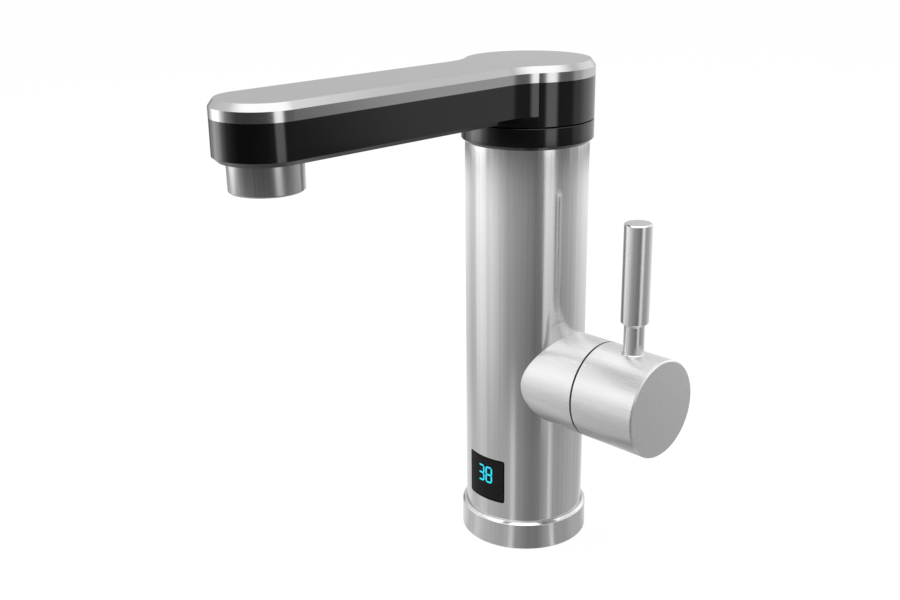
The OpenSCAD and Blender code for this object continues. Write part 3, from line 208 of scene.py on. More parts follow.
def turned(name, section, centre=(0, 0), along="Z", steps=PLAIN_STEPS):
    """Spins [radius, distance along the axis] in millimetres, round an axis through a centre in metres."""
    if along == "Z":
        points = [Vector((centre[0] + r * MM, centre[1], h * MM)) for r, h in section]
        middle, axis = (centre[0], centre[1], 0), (0, 0, 1)
    else:
        points = [Vector((h * MM, centre[0], centre[1] + r * MM)) for r, h in section]
        middle, axis = (0, centre[0], centre[1]), (1, 0, 0)
    piece = start_point(name, points[0])
    draw_on(points[0], points[1:])
    bpy.ops.mesh.select_all(action="SELECT")
    bpy.ops.mesh.spin(steps=steps, angle=2 * pi, center=middle, axis=axis)
    return close_up(piece)


# %% [markdown]
# ## Soft edges
# No machined or moulded edge is perfectly sharp. A narrow bevel catches the light along it,
# and weighted normals keep the large faces flat beside it.

# %% Round the sharp edges and smooth the shading
BEVEL_SEGMENTS = 2
BEVEL_FROM = radians(25)
SMOOTH_UP_TO = radians(35)


def soften(piece, width):
    """Bevels the sharp edges by a width in millimetres, and smooths what lies between them."""
    only(piece)
    bevel = piece.modifiers.new("edge", "BEVEL")
    bevel.width = width * MM
    bevel.segments = BEVEL_SEGMENTS
    bevel.limit_method = "ANGLE"
    bevel.angle_limit = BEVEL_FROM
    bpy.ops.object.modifier_apply(modifier=bevel.name)
    bpy.ops.object.shade_smooth_by_angle(angle=SMOOTH_UP_TO)
    weighted = piece.modifiers.new("weighted", "WEIGHTED_NORMAL")
    weighted.keep_sharp = True
    bpy.ops.object.modifier_apply(modifier=weighted.name)


# %% [markdown]
# ## Cutting and joining
# A hole across a tube can't be spun. A boolean modifier cuts it with a second mesh, or joins the two,
# and the tool is thrown away once the modifier is applied.
# A tool reaches past the face that it cuts, so that no two faces lie in one plane.

# %% Cut or join one piece with another
PAST = 1


def combine(piece, tool, operation):
    """Applies a boolean with a tool, which is used up."""
    only(piece)
    cut = piece.modifiers.new(operation.lower(), "BOOLEAN")
    cut.operation = operation
    cut.solver = "EXACT"
    cut.object = tool
    bpy.ops.object.modifier_apply(modifier=cut.name)
    bpy.data.objects.remove(tool)
    return piece


def rod(name, radius, start, end, centre=(0, 0), along="Z"):
    """A plain round tool for cutting."""
    return turned(name, [(0, start), (radius, start), (radius, end), (0, end)], centre, along)


# %% [markdown]
# ## Body tube
# The column is a thin stainless tube. It has a wide hole for the valve on one side and a window for the
# display low on its front. The tube is spun, and both openings are cut with boolean tools,
# because a cut keeps the round wall exact beside them.

# %% Display outline
DISPLAY_LOW, DISPLAY_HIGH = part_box("display_window")
RIM = 0.9
DISPLAY_W = (DISPLAY_HIGH.x - DISPLAY_LOW.x) / MM - 2 * RIM
DISPLAY_H = (DISPLAY_HIGH.z - DISPLAY_LOW.z) / MM - 2 * RIM
DISPLAY_Z = (DISPLAY_LOW.z + DISPLAY_HIGH.z) / 2 / MM
CORNER_R = 1.2
CORNER_STEPS = 6
BLOCK_FRONT = -33
BLOCK_DEPTH = 9


def arc(cx, cy, r, start, end, steps):
    """Points on an arc, in the units of its centre and radius, with angles in degrees."""
    turn = [radians(start + (end - start) * i / steps) for i in range(steps + 1)]
    return [(cx + r * cos(a), cy + r * sin(a)) for a in turn]


def display_block(name, shrink):
    """The display's rounded rectangle, pushed through the front wall of the tube."""
    w = DISPLAY_W / 2 - shrink - CORNER_R
    h = DISPLAY_H / 2 - shrink - CORNER_R
    corners = []
    for quarter, (x, z) in enumerate([(w, h), (-w, h), (-w, -h), (w, -h)]):
        corners += arc(x, z, CORNER_R, 90 * quarter, 90 * quarter + 90, CORNER_STEPS)
    points = [Vector((x * MM, BLOCK_FRONT * MM, (DISPLAY_Z + z) * MM)) for x, z in corners]
    piece = start_point(name, points[0])
    draw_on(points[0], points[1:])
    bpy.ops.mesh.select_all(action="SELECT")
    bpy.ops.mesh.edge_face_add()
    bpy.ops.mesh.extrude_region_move(TRANSFORM_OT_translate={"value": (0, BLOCK_DEPTH * MM, 0)})
    return close_up(piece)


print("display", round(DISPLAY_W, 2), "by", round(DISPLAY_H, 2), "at", round(DISPLAY_Z, 2))

# %% Make the tube
WALL = 1.2
VALVE_HOLE_R = 20.25
VALVE_HOLE_END = 40
tube_r = TUBE_R / MM
bore_r = tube_r - WALL
tube_low = TUBE_LOW / MM
tube_top = TUBE_TOP / MM
body = turned("column_tube", [
    (bore_r, tube_low), (tube_r, tube_low), (tube_r, tube_top), (bore_r, tube_top), (bore_r, tube_low),
], steps=FINE_STEPS)
body = combine(body, display_block("display_hole", shrink=0), "DIFFERENCE")
body = combine(body, rod("valve_hole", VALVE_HOLE_R, 0, VALVE_HOLE_END, (0, HANDLE_Z), "X"), "DIFFERENCE")
soften(body, width=0.12)
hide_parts("body_tube")
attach(body, "column")
tell(body)

# %% [markdown]
# ## Base ring
# The ring at the foot is a turned trim that hides the tube's lower edge. A bevel modifier could break its
# top edge, but this bevel is wide and shows as a bright line, so it is drawn in the section.

# %% Make the base ring
FIT = 0.05
RING_BORE_R = 24
SEAT_H = 3
GROOVE_IN = 2.75
GROOVE_OUT = 0.95
GROOVE_H = 1.5
RING_BEVEL_W = 1.2
RING_BEVEL_H = 1.1
ring_r = RING_R / MM
ring_top = high("base_ring").z / MM
base = turned("foot_ring", [
    (RING_BORE_R, 0), (ring_r - GROOVE_IN, 0), (ring_r - GROOVE_IN, GROOVE_H),
    (ring_r - GROOVE_OUT, GROOVE_H), (ring_r - GROOVE_OUT, 0), (ring_r, 0),
    (ring_r, ring_top - RING_BEVEL_H), (ring_r - RING_BEVEL_W, ring_top), (tube_r + FIT, ring_top),
    (tube_r + FIT, SEAT_H), (RING_BORE_R, SEAT_H), (RING_BORE_R, 0),
], steps=FINE_STEPS)
soften(base, width=0.2)
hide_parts("base_ring")
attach(base, "column")
tell(base)

# %% [markdown]
# ## Display
# The display is a smoked window, bent to the tube. A flat block would stand out at its corners, so the
# same rounded block that cut the opening is intersected with a thin turned wall.

# %% Make the display window
WINDOW_PLAY = 0.05
WINDOW_SINK = 0.15
WINDOW_BACK = 0.6
CURVE_LOW = 15
CURVE_HIGH = 56
face_r = tube_r - WINDOW_SINK
back_r = bore_r - WINDOW_BACK
window = display_block("display_glass", shrink=WINDOW_PLAY)
curve = turned("window_curve", [
    (back_r, CURVE_LOW), (face_r, CURVE_LOW), (face_r, CURVE_HIGH), (back_r, CURVE_HIGH), (back_r, CURVE_LOW),
], steps=FINE_STEPS)
window = combine(window, curve, "INTERSECT")
soften(window, width=0.1)
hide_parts("display_window")
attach(window, "column")
tell(window)

# %% [markdown]
# ## Glowing digits
# Behind the window glow two digits made of seven bars each. A painted pattern would blur when it is
# baked, so each bar is a small block with pointed ends. It is made flat at the front of the tube,
# then turned about the column's axis to its place, so it lies on the curved window.

# %% Say where the bars go
BAR_W = 0.92
BAR_T = 0.08
BAR_GAP = 0.22
BAR_TIP = 0.1
DIGIT_W = 4.3
DIGIT_H = 9.1
DIGIT_LOW = 33.0
BAR_FACE = tube_r - 0.06
# Each bar: its place across and up the digit as shares of the size, and how it lies
SEGMENTS = {
    "top": (0, 1, "level"), "middle": (0, 0.5, "level"), "bottom": (0, 0, "level"),
    "upper_left": (-0.5, 0.75, "upright"), "upper_right": (0.5, 0.75, "upright"),
    "lower_left": (-0.5, 0.25, "upright"), "lower_right": (0.5, 0.25, "upright"),
}
# Each digit: its azimuth from the front in degrees, and the bars that glow
DIGITS = {
    "three": (-4.4, ["top", "middle", "bottom", "upper_right", "lower_right"]),
    "eight": (5.2, list(SEGMENTS)),
}
print("bars in all", sum(len(parts) for _, parts in DIGITS.values()))


# %% Make one bar
def bar(name, length, lies, x, z, azimuth):
    """A pointed bar, standing at the tube's front and turned to its azimuth."""
    bpy.ops.object.select_all(action="DESELECT")
    bpy.ops.mesh.primitive_cube_add(size=1, location=(0, 0, 0))
    piece = bpy.context.object
    piece.name = name
    bpy.ops.object.mode_set(mode="EDIT")
    bpy.ops.transform.resize(value=((length - BAR_W) * MM, BAR_T * MM, BAR_W * MM))
    for side in (-1, 1):
        bpy.ops.mesh.select_all(action="DESELECT")
        bpy.ops.object.mode_set(mode="OBJECT")
        for face in piece.data.polygons:
            face.select = face.normal.x * side > 0.9
        bpy.ops.object.mode_set(mode="EDIT")
        bpy.ops.mesh.extrude_region_move(TRANSFORM_OT_translate={"value": (side * BAR_W / 2 * MM, 0, 0)})
        bpy.ops.transform.resize(value=(1, 1, BAR_TIP))
    bpy.ops.mesh.select_all(action="SELECT")
    if lies == "upright":
        bpy.ops.transform.rotate(value=pi / 2, orient_axis="Y", center_override=(0, 0, 0))
    bpy.ops.transform.translate(value=(x * MM, -BAR_FACE * MM, z * MM))
    bpy.ops.transform.rotate(value=radians(-azimuth), orient_axis="Z", center_override=(0, 0, 0))
    return close_up(piece)


# %% Join the bars to digits
digit_pieces = []
for digit, (azimuth, parts) in DIGITS.items():
    bars = []
    for part in parts:
        across, up, lies = SEGMENTS[part]
        run = (DIGIT_W - BAR_W if lies == "level" else (DIGIT_H - BAR_W) / 2) - BAR_GAP
        z = DIGIT_LOW + BAR_W / 2 + up * (DIGIT_H - BAR_W)
        bars.append(bar(f"{digit}_{part}", run, lies, across * (DIGIT_W - BAR_W), z, azimuth))
    only(bars[0])
    for other in bars:
        other.select_set(True)
    bpy.ops.object.join()
    joined = bpy.context.object
    joined.name = f"digit_{digit}"
    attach(joined, "column")
    digit_pieces.append(joined)
    tell(joined)

# %% [markdown]
# ## Swivel collar
# Below the spout sits a black collar with a bevel at its lower edge. It is turned like the rest.
# Its outer skirt closes over the tube's edge, and its inner skirt reaches into the tube.

# %% Make the collar
COLLAR_BORE_R = 9.3
SEAM_CHAMFER = 0.3
SKIRT_H = 5.6
SKIRT_BEVEL = 1.5
INNER_SKIRT_DROP = 0.9
INNER_SKIRT_IN = 2.05
head_r = HEAD_R / MM
collar_top = high("swivel_collar").z / MM
skirt_z = tube_top - SKIRT_H
inner_z = skirt_z - INNER_SKIRT_DROP
collar = turned("black_collar", [
    (COLLAR_BORE_R, tube_top), (COLLAR_BORE_R, collar_top),
    (head_r - SEAM_CHAMFER, collar_top), (head_r, collar_top - SEAM_CHAMFER),
    (head_r, skirt_z + SKIRT_BEVEL), (head_r - SKIRT_BEVEL, skirt_z),
    (tube_r + FIT, skirt_z), (tube_r + FIT, tube_top), (bore_r - FIT, tube_top), (bore_r - FIT, inner_z),
    (bore_r - INNER_SKIRT_IN, inner_z), (bore_r - INNER_SKIRT_IN, tube_top), (COLLAR_BORE_R, tube_top),
], steps=FINE_STEPS)
soften(collar, width=0.12)
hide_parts("swivel_collar")
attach(collar, "column")
tell(collar)

# %% [markdown]
# ## Spout outline
# From above, the spout is a round head that runs through two soft blends into a narrow arm with a round
# end. It could be a box and two cylinders joined, but then each blend would be one more cut.
# One outline of arcs has them all, and serves both the black shell and the silver cover.
# Its head is a hair smaller than the turned head that is joined to it later, so that no faces coincide.

# %% Work out the outline
BLEND_R = 30
HEAD_SINK = 0.2
HEAD_STEPS = 96
BLEND_STEPS = 20
ARM_END_STEPS = 72
arm_r = ARM_R / MM
reach = REACH / MM


def spout_outline():
    """Points in millimetres, anticlockwise from above, with each joint given once."""
    r = head_r - HEAD_SINK
    bx = arm_r + BLEND_R
    by = sqrt((r + BLEND_R) ** 2 - bx ** 2)
    blend = degrees(atan2(by, bx))
    return (
        arc(0, 0, r, -blend, 180 + blend, HEAD_STEPS)
        + arc(-bx, -by, BLEND_R, blend, 0, BLEND_STEPS)[1:]
        + arc(0, -reach, arm_r, 180, 360, ARM_END_STEPS)
        + arc(bx, -by, BLEND_R, 180, 180 - blend, BLEND_STEPS)[:-1]
    )


print("outline points", len(spout_outline()))


# %% Helpers that raise a solid from the outline
def spout_face(name, z):
    """The outline as one level face at a height in metres, selected in edit mode."""
    points = [Vector((x * MM, y * MM, z)) for x, y in spout_outline()]
    piece = start_point(name, points[0])
    draw_on(points[0], points[1:])
    bpy.ops.mesh.select_all(action="SELECT")
    bpy.ops.mesh.edge_face_add()
    return piece


def push(rise):
    """Extrudes the selected face straight up, in millimetres, or down where the rise is negative."""
    bpy.ops.mesh.extrude_region_move(TRANSFORM_OT_translate={"value": (0, 0, rise * MM)})


def draw_in(width, rise=0.0):
    """Insets the selected face by a width and lifts it, both in millimetres."""
    bpy.ops.mesh.inset(thickness=width * MM, depth=0)
    bpy.ops.transform.translate(value=(0, 0, rise * MM))


def outline_block(name, inset, z0, z1):
    """The outline, drawn in by an inset, as a closed block between two heights in millimetres."""
    piece = spout_face(name, z0 * MM)
    draw_in(inset)
    bpy.ops.mesh.select_all(action="INVERT")
    bpy.ops.mesh.delete(type="VERT")
    bpy.ops.mesh.select_all(action="SELECT")
    push(z1 - z0)
    return close_up(piece)


# %% [markdown]
# ## Spout shell
# The black shell is the outline pulled down from the cover, with a chamfer along the arm's lower edge.
# The head reaches further down as a full cylinder, so that part is turned and joined on.

# %% Make the spout shell
ARM_RISE = 3.2
ARM_CHAMFER = 2
cover_z = COVER_Z / MM
seam_z = SEAM_Z / MM
arm_z = seam_z + ARM_RISE
shell = spout_face("spout_body", COVER_Z)
push(arm_z + ARM_CHAMFER - cover_z)
draw_in(ARM_CHAMFER, -ARM_CHAMFER)
close_up(shell)
head = turned("head_cylinder", [
    (0, seam_z), (head_r - SEAM_CHAMFER, seam_z), (head_r, seam_z + SEAM_CHAMFER), (head_r, cover_z),
    (0, cover_z),
], steps=FINE_STEPS)
shell = combine(shell, head, "UNION")
tell(shell)

# %% [markdown]
# The inside is hollow for the water channel. The same outline, drawn in by the wall, cuts it out,
# and two round holes let the water socket and the nozzle through the floor.

# %% Hollow the shell
SHELL_WALL = 2.5
SOCKET_HOLE_R = 15.15
NOZZLE_HOLE_R = 12.75
floor_z = arm_z + SHELL_WALL
hollow = outline_block("shell_hollow", SHELL_WALL, floor_z, cover_z + PAST)
shell = combine(shell, hollow, "DIFFERENCE")
socket_hole = rod("socket_hole", SOCKET_HOLE_R, seam_z - PAST, floor_z + PAST)
shell = combine(shell, socket_hole, "DIFFERENCE")
nozzle_hole = rod("nozzle_hole", NOZZLE_HOLE_R, arm_z - PAST, floor_z + PAST, (0, -REACH))
shell = combine(shell, nozzle_hole, "DIFFERENCE")
soften(shell, width=0.15)
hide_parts("spout_shell")
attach(shell, "spout")
tell(shell)

# %% [markdown]
# ## Spout cover
# The cover is a flat silver lid with an upright band and a broad bevel round its top. The bevel is one
# flat facet that mirrors the lamps, so it is made by extrude and inset and not by a rounding modifier.

# %% Make the cover
BAND_H = 4.3
COVER_BEVEL_W = 2.1
top_z = TOP_Z / MM
band_z = cover_z + BAND_H
cover = spout_face("silver_cover", COVER_Z)
push(BAND_H)
draw_in(COVER_BEVEL_W, top_z - cover_z - BAND_H)
close_up(cover)
lid = turned("cover_head", [
    (0, cover_z), (head_r, cover_z), (head_r, band_z), (head_r - COVER_BEVEL_W, top_z), (0, top_z),
], steps=FINE_STEPS)
cover = combine(cover, lid, "UNION")
tell(cover)

# %% [markdown]
# Below, a lip drops into the shell and holds the cover in place, and the middle is hollowed out.

# %% Give the cover its lip and hollow
LIP_IN = 2.6
LIP_H = 3
COVER_HOLLOW_IN = 4.0
COVER_TOP_T = 2.6
lip = outline_block("cover_lip", LIP_IN, cover_z - LIP_H, cover_z + PAST)
cover = combine(cover, lip, "UNION")
hollow = outline_block("cover_hollow", COVER_HOLLOW_IN, cover_z - LIP_H - PAST, top_z - COVER_TOP_T)
cover = combine(cover, hollow, "DIFFERENCE")
soften(cover, width=0.2)
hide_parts("spout_cover")
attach(cover, "spout")
tell(cover)

# %% [markdown]
# ## Aerator sleeve
# A short metal sleeve under the arm's end holds the aerator. A tube with a thick wall would hide the
# step that the aerator rests on, so the section has that step inside it.

# %% Make the sleeve
OUTLET_R = 10.85
AERATOR_R = 12.65
AERATOR_STEP = 1.8
SLEEVE_CHAMFER = 0.6
sleeve_r = half_width("aerator_sleeve")
sleeve_low = low("aerator_sleeve").z / MM
sleeve_top = high("aerator_sleeve").z / MM
step_z = sleeve_low + AERATOR_STEP
sleeve = turned("outlet_sleeve", [
    (OUTLET_R, sleeve_low), (sleeve_r - SLEEVE_CHAMFER, sleeve_low), (sleeve_r, sleeve_low + SLEEVE_CHAMFER),
    (sleeve_r, sleeve_top), (AERATOR_R, sleeve_top), (AERATOR_R, step_z), (OUTLET_R, step_z),
    (OUTLET_R, sleeve_low),
], centre=(0, -REACH))
soften(sleeve, width=0.15)
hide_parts("aerator_sleeve")
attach(sleeve, "spout")
tell(sleeve)

# %% [markdown]
# ## Boss and knob
# The fixed boss is a ring saddled on the tube, and the knob turns on the same axis. Both are turned on
# the lathe round the handle's axis. The boss is then cut to the tube's curve, because no spin gives it.
# The gap between the two shows as a dark line, so each stands back from it a little.

# %% Make the boss
KNOB_WALL = 3
GAP_EXTRA = 0.12
LAND_IN = 1.4
LAND_DEPTH = 4.3
SADDLE_LOW = 40
SADDLE_HIGH = 140
knob_r = KNOB_R / MM
boss_end = high("valve_boss").x / MM - GAP_EXTRA
boss = turned("side_boss", [
    (knob_r - KNOB_WALL, 0), (knob_r, 0), (knob_r, boss_end), (knob_r - LAND_IN, boss_end),
    (knob_r - LAND_IN, boss_end - LAND_DEPTH), (knob_r - KNOB_WALL, boss_end - LAND_DEPTH),
    (knob_r - KNOB_WALL, 0),
], centre=(0, HANDLE_Z), along="X", steps=KNOB_STEPS)
boss = combine(boss, rod("saddle", tube_r + FIT, SADDLE_LOW, SADDLE_HIGH), "DIFFERENCE")
soften(boss, width=0.28)
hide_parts("valve_boss")
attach(boss, "column")
tell(boss)

# %% [markdown]
# The knob is a cup with a hub that grips the valve's spindle. A seat and a hole for the lever's stem are
# drilled down through its crown.

# %% Make the knob
KNOB_CHAMFER = 0.7
KNOB_END_T = 4
HUB_R = 9
HUB_SET_BACK = 3
SPINDLE_R = 4.52
SPINDLE_END = 12
STEM_SEAT_R = 5.45
STEM_SEAT_DEPTH = 1.3
STEM_SEAT_CLEAR = 3
STEM_HOLE_R = 3.02
knob_x = KNOB_X / MM + GAP_EXTRA
knob_end = KNOB_END / MM
crown = (HANDLE_Z + KNOB_R) / MM
seat_z = crown - STEM_SEAT_DEPTH
knob = turned("turning_knob", [
    (0, knob_end), (knob_r - KNOB_CHAMFER, knob_end), (knob_r, knob_end - KNOB_CHAMFER), (knob_r, knob_x),
    (knob_r - KNOB_WALL, knob_x), (knob_r - KNOB_WALL, knob_end - KNOB_END_T),
    (HUB_R, knob_end - KNOB_END_T), (HUB_R, knob_x + HUB_SET_BACK), (SPINDLE_R, knob_x + HUB_SET_BACK),
    (SPINDLE_R, knob_end - SPINDLE_END), (0, knob_end - SPINDLE_END),
], centre=(0, HANDLE_Z), along="X", steps=KNOB_STEPS)
stem_seat = rod("stem_seat", STEM_SEAT_R, seat_z, crown + STEM_SEAT_CLEAR, (LEVER_X, 0))
knob = combine(knob, stem_seat, "DIFFERENCE")
stem_hole = rod("stem_hole", STEM_HOLE_R, HANDLE_Z / MM, crown, (LEVER_X, 0))
knob = combine(knob, stem_hole, "DIFFERENCE")
soften(knob, width=0.15)
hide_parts("handle_knob")
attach(knob, "handle")
tell(knob)

# %% [markdown]
# ## Lever
# A slim stem stands on the knob. A low bead closes it at the foot and a thin one at the top, which show
# as light rims, and the thicker grip is screwed onto it. Both are spun with fewer steps, as they are thin.

# %% Make the stem
TENON_R = 3
TENON_H = 12
STEM_R = 4.85
BEAD_CHAMFER = 0.3
BEAD_RISE = 0.1
TOP_BEAD_IN = 0.2
TOP_BEAD_SLOPE = 0.9
TOP_BEAD_H = 0.6
bead_r = half_width("lever_stem")
stem_low = low("lever_stem").z / MM
grip_low = low("lever_grip").z / MM
tenon_top = grip_low + TENON_H
stem = turned("lever_rod", [
    (0, stem_low), (TENON_R, stem_low), (TENON_R, seat_z), (bead_r, seat_z), (bead_r, crown - BEAD_CHAMFER),
    (bead_r - BEAD_CHAMFER, crown), (STEM_R, crown + BEAD_RISE), (STEM_R, grip_low - TOP_BEAD_SLOPE),
    (bead_r - TOP_BEAD_IN, grip_low - TOP_BEAD_H), (bead_r - TOP_BEAD_IN, grip_low),
    (TENON_R, grip_low), (TENON_R, tenon_top), (0, tenon_top),
], centre=(LEVER_X, 0), steps=LEVER_STEPS)
soften(stem, width=0.15)
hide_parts("lever_stem")
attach(stem, "handle")
tell(stem)

# %% Make the grip
GRIP_BORE_R = 3.02
GRIP_BORE_H = 12.2
GRIP_CHAMFER = 0.6
grip_r = half_width("lever_grip")
grip_top = high("lever_grip").z / MM
bore_top = grip_low + GRIP_BORE_H
grip = turned("lever_handle", [
    (GRIP_BORE_R, grip_low), (grip_r - GRIP_CHAMFER, grip_low), (grip_r, grip_low + GRIP_CHAMFER),
    (grip_r, grip_top - GRIP_CHAMFER), (grip_r - GRIP_CHAMFER, grip_top), (0, grip_top), (0, bore_top),
    (GRIP_BORE_R, bore_top), (GRIP_BORE_R, grip_low),
], centre=(LEVER_X, 0), steps=LEVER_STEPS)
soften(grip, width=0.2)
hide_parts("lever_grip")
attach(grip, "handle")
tell(grip)

# %% [markdown]
# ## Shader maths
# A finish is a small network of nodes. It could be drawn node by node, but sums are easier to read:
# a wrapper round a socket lets Python write them, and one method makes any other node.

# %% Wrap a socket
class Wire:
    """A socket in a node tree that can be added, multiplied and passed on."""

    def __init__(self, tree, socket=None):
        self.tree = tree
        self.socket = socket

    def node(self, kind, sockets=None, output=0, stops=None, **settings):
        made = self.tree.nodes.new(kind)
        for key, value in settings.items():
            setattr(made, key, value)
        if stops:
            ramp = made.color_ramp.elements
            while len(ramp) > 1:
                ramp.remove(ramp[-1])
            ramp[0].position = stops[0][0]
            ramp[0].color = stops[0][1]
            for place, colour in stops[1:]:
                ramp.new(place).color = colour
        for key, value in (sockets or {}).items():
            self.feed(made.inputs[key], value)
        return Wire(self.tree, made.outputs[output])

    def feed(self, target, value):
        if isinstance(value, Wire):
            self.tree.links.new(value.socket, target)
        else:
            target.default_value = value

    def math(self, operation, a, b=0.0):
        return self.node("ShaderNodeMath", {0: a, 1: b}, operation=operation)

    def step(self, start, end):
        """Turns this value into 0 up to the start and 1 from the end on, with an even rise between."""
        return self.node("ShaderNodeMapRange", {0: self, 1: start, 2: end})

    def mix(self, factor, first, second):
        """A colour between two. A Mix node's colours are its sockets 6 and 7, and its output 2."""
        sockets = {"Factor": factor, 6: first, 7: second}
        return self.node("ShaderNodeMix", sockets, output=2, data_type="RGBA")

    def __add__(self, other):
        return self.math("ADD", self, other)

    def __radd__(self, other):
        return self.math("ADD", other, self)

    def __sub__(self, other):
        return self.math("SUBTRACT", self, other)

    def __rsub__(self, other):
        return self.math("SUBTRACT", other, self)

    def __mul__(self, other):
        return self.math("MULTIPLY", self, other)

    def __rmul__(self, other):
        return self.math("MULTIPLY", other, self)

    def __truediv__(self, other):
        return self.math("DIVIDE", self, other)

    def __rtruediv__(self, other):
        return self.math("DIVIDE", other, self)


# %% Start a finish
class Finish:
    """A material with one Principled shader. Constants are set straight on its sockets."""

    def __init__(self, name, **constants):
        self.material = bpy.data.materials.new(name)
        self.material.use_nodes = True
        self.tree = self.material.node_tree
        self.shader = self.tree.nodes["Principled BSDF"]
        for key, value in constants.items():
            self.shader.inputs[key.replace("_", " ")].default_value = value
        self.wire = Wire(self.tree)
        self.place = self.wire.node("ShaderNodeTexCoord", output="Object")
        parts = self.tree.nodes.new("ShaderNodeSeparateXYZ")
        self.tree.links.new(self.place.socket, parts.inputs[0])
        self.x, self.y, self.z = (Wire(self.tree, parts.outputs[i]) for i in range(3))

    def set(self, socket, value):
        self.wire.feed(self.shader.inputs[socket], value)

    def noise(self, vector, scale, detail=3.0, rough=0.5):
        sockets = {"Vector": vector, "Scale": scale, "Detail": detail, "Roughness": rough}
        return self.wire.node("ShaderNodeTexNoise", sockets, noise_dimensions="3D")

    def vector(self, x, y, z):
        return self.wire.node("ShaderNodeCombineXYZ", {0: x, 1: y, 2: z})

    def blend(self, mask, first, second):
        """A colour between two plain colours."""
        return self.wire.mix(mask, (*first, 1), (*second, 1))

    def bump(self, height, strength, distance):
        sockets = {"Height": height, "Strength": strength, "Distance": distance}
        self.set("Normal", self.wire.node("ShaderNodeBump", sockets))

    def surface(self, shader):
        """Puts another shader in the Principled one's place."""
        self.tree.links.new(shader.socket, self.tree.nodes["Material Output"].inputs["Surface"])

    def on(self, *pieces):
        for piece in pieces:
            piece.data.materials.clear()
            piece.data.materials.append(self.material)


# %% [markdown]
# ## Brushed steel
# The tube and the handle are ground with a fine belt, which leaves hair-thin lines along each piece.
# Between the lines the metal is nearly polished, and in them it is dull. Noise that is stretched along
# the piece in Object coordinates gives the lines, and a step parts them into these two kinds, so the
# metal mirrors the room clearly and also shows a soft glow round each bright panel.

# %% One function for the ground metals
HAIR_STEP = (0.36, 0.64)


def ground_metal(name, grain, colours, clear, dull, streaks=0.05):
    """
    Metal with lines. grain holds what the place is multiplied by, small along the lines.
    clear and dull are the roughness between the lines and in them, and streaks adds to both in bands.
    """
    metal = Finish(name, Metallic=1.0)
    along = metal.vector(metal.x * grain[0], metal.y * grain[1], metal.z * grain[2])
    hair = metal.noise(along, scale=9000.0, detail=2.0, rough=0.6)
    broad = metal.noise(along, scale=650.0, detail=4.0, rough=0.7)
    smear = metal.noise(metal.place, scale=40.0, detail=2.0)
    dulled = hair.step(*HAIR_STEP)
    streak = broad.step(*HAIR_STEP)
    metal.set("Base Color", metal.blend(hair * 0.25 + streak * 0.75, *colours))
    metal.set("Roughness", clear + dulled * (dull - clear) + streak * streaks + smear * 0.03)
    metal.bump(hair, strength=0.04, distance=0.03 * MM)
    return metal


# %% Finish the metal pieces
UPRIGHT = (1.0, 1.0, 0.003)
LEVEL = (0.003, 1.0, 1.0)
STEEL_GREYS = ((0.66, 0.655, 0.657), (0.77, 0.765, 0.767))
HANDLE_GREYS = ((0.77, 0.765, 0.77), (0.81, 0.805, 0.81))
LEVER_GREYS = ((0.67, 0.67, 0.67), (0.75, 0.75, 0.75))
OUTLET_GREYS = ((0.38, 0.38, 0.38), (0.42, 0.42, 0.42))
steel = ground_metal("ground_steel", UPRIGHT, STEEL_GREYS, clear=0.05, dull=0.17, streaks=0.04)
steel.on(body, base)
handle_metal = ground_metal("ground_handle", LEVEL, HANDLE_GREYS, clear=0.22, dull=0.44, streaks=0.03)
handle_metal.on(boss, knob)
lever_metal = ground_metal("ground_lever", UPRIGHT, LEVER_GREYS, clear=0.08, dull=0.24)
lever_metal.on(stem, grip)
outlet_metal = ground_metal("ground_outlet", UPRIGHT, OUTLET_GREYS, clear=0.14, dull=0.24, streaks=0.02)
outlet_metal.on(sleeve)
print("nodes in the steel", len(steel.tree.nodes))

# %% [markdown]
# ## Gloss plastic
# The shell and the collar are black plastic with a deep shine. A perfectly even surface would look
# drawn, so a faint waviness bends its reflections and a little dust dulls them in places.

# %% Black gloss
black = Finish("black_gloss", IOR=1.56)
ripple = black.noise(black.place, scale=90.0, detail=2.0)
dust = black.noise(black.place, scale=1400.0, detail=2.0)
black.set("Base Color", black.blend(dust, (0.0008, 0.0008, 0.0009), (0.0018, 0.0018, 0.0019)))
black.set("Roughness", 0.05 + dust * 0.04)
black.bump(ripple, strength=0.03, distance=0.2 * MM)
black.on(shell, collar)
print("finished", shell.name, "and", collar.name)

# %% [markdown]
# The cover is the same plastic under a thin silver layer. Fine flakes in the layer soften its shine,
# so it is a metal with very small spots of noise.

# %% Silver layer
silver = Finish("silver_layer", Metallic=1.0)
flakes = silver.noise(silver.place, scale=3200.0, detail=3.0)
silver.set("Base Color", silver.blend(flakes, (0.45, 0.45, 0.452), (0.49, 0.49, 0.492)))
silver.set("Roughness", 0.12 + flakes * 0.06)
silver.bump(flakes, strength=0.015, distance=0.03 * MM)
silver.on(cover)
print("finished", cover.name)

# %% [markdown]
# The window is smoked and hardly mirrors. Its printed border is deep black, and the part inside it is
# painted a little lighter, a painted reflection that stands for the glass mirroring more there than on the
# print.
# The border could be a piece of its own, but it has no height, so the distance from the window's middle
# paints it.

# %% Smoked window
BORDER = 0.7
BORDER_BLUR = 0.08
smoked = Finish("smoked_window", IOR=1.12)
haze = smoked.noise(smoked.place, scale=500.0, detail=2.0)
beside = smoked.wire.math("ABSOLUTE", smoked.x) - (DISPLAY_W / 2 - BORDER) * MM
beyond = smoked.wire.math("ABSOLUTE", smoked.z - DISPLAY_Z * MM) - (DISPLAY_H / 2 - BORDER) * MM
printed = smoked.wire.math("MAXIMUM", beside, beyond).step(-BORDER_BLUR * MM, BORDER_BLUR * MM)
# The inside is painted lighter than the print: painted reflection, not a colour of its own
inside = smoked.blend(haze, (0.011, 0.011, 0.011), (0.016, 0.016, 0.016))
smoked.set("Base Color", smoked.wire.mix(printed, inside, (0.0006, 0.0006, 0.0006, 1)))
smoked.set("Roughness", 0.12 + haze * 0.05)
smoked.on(window)
print("finished", window.name)

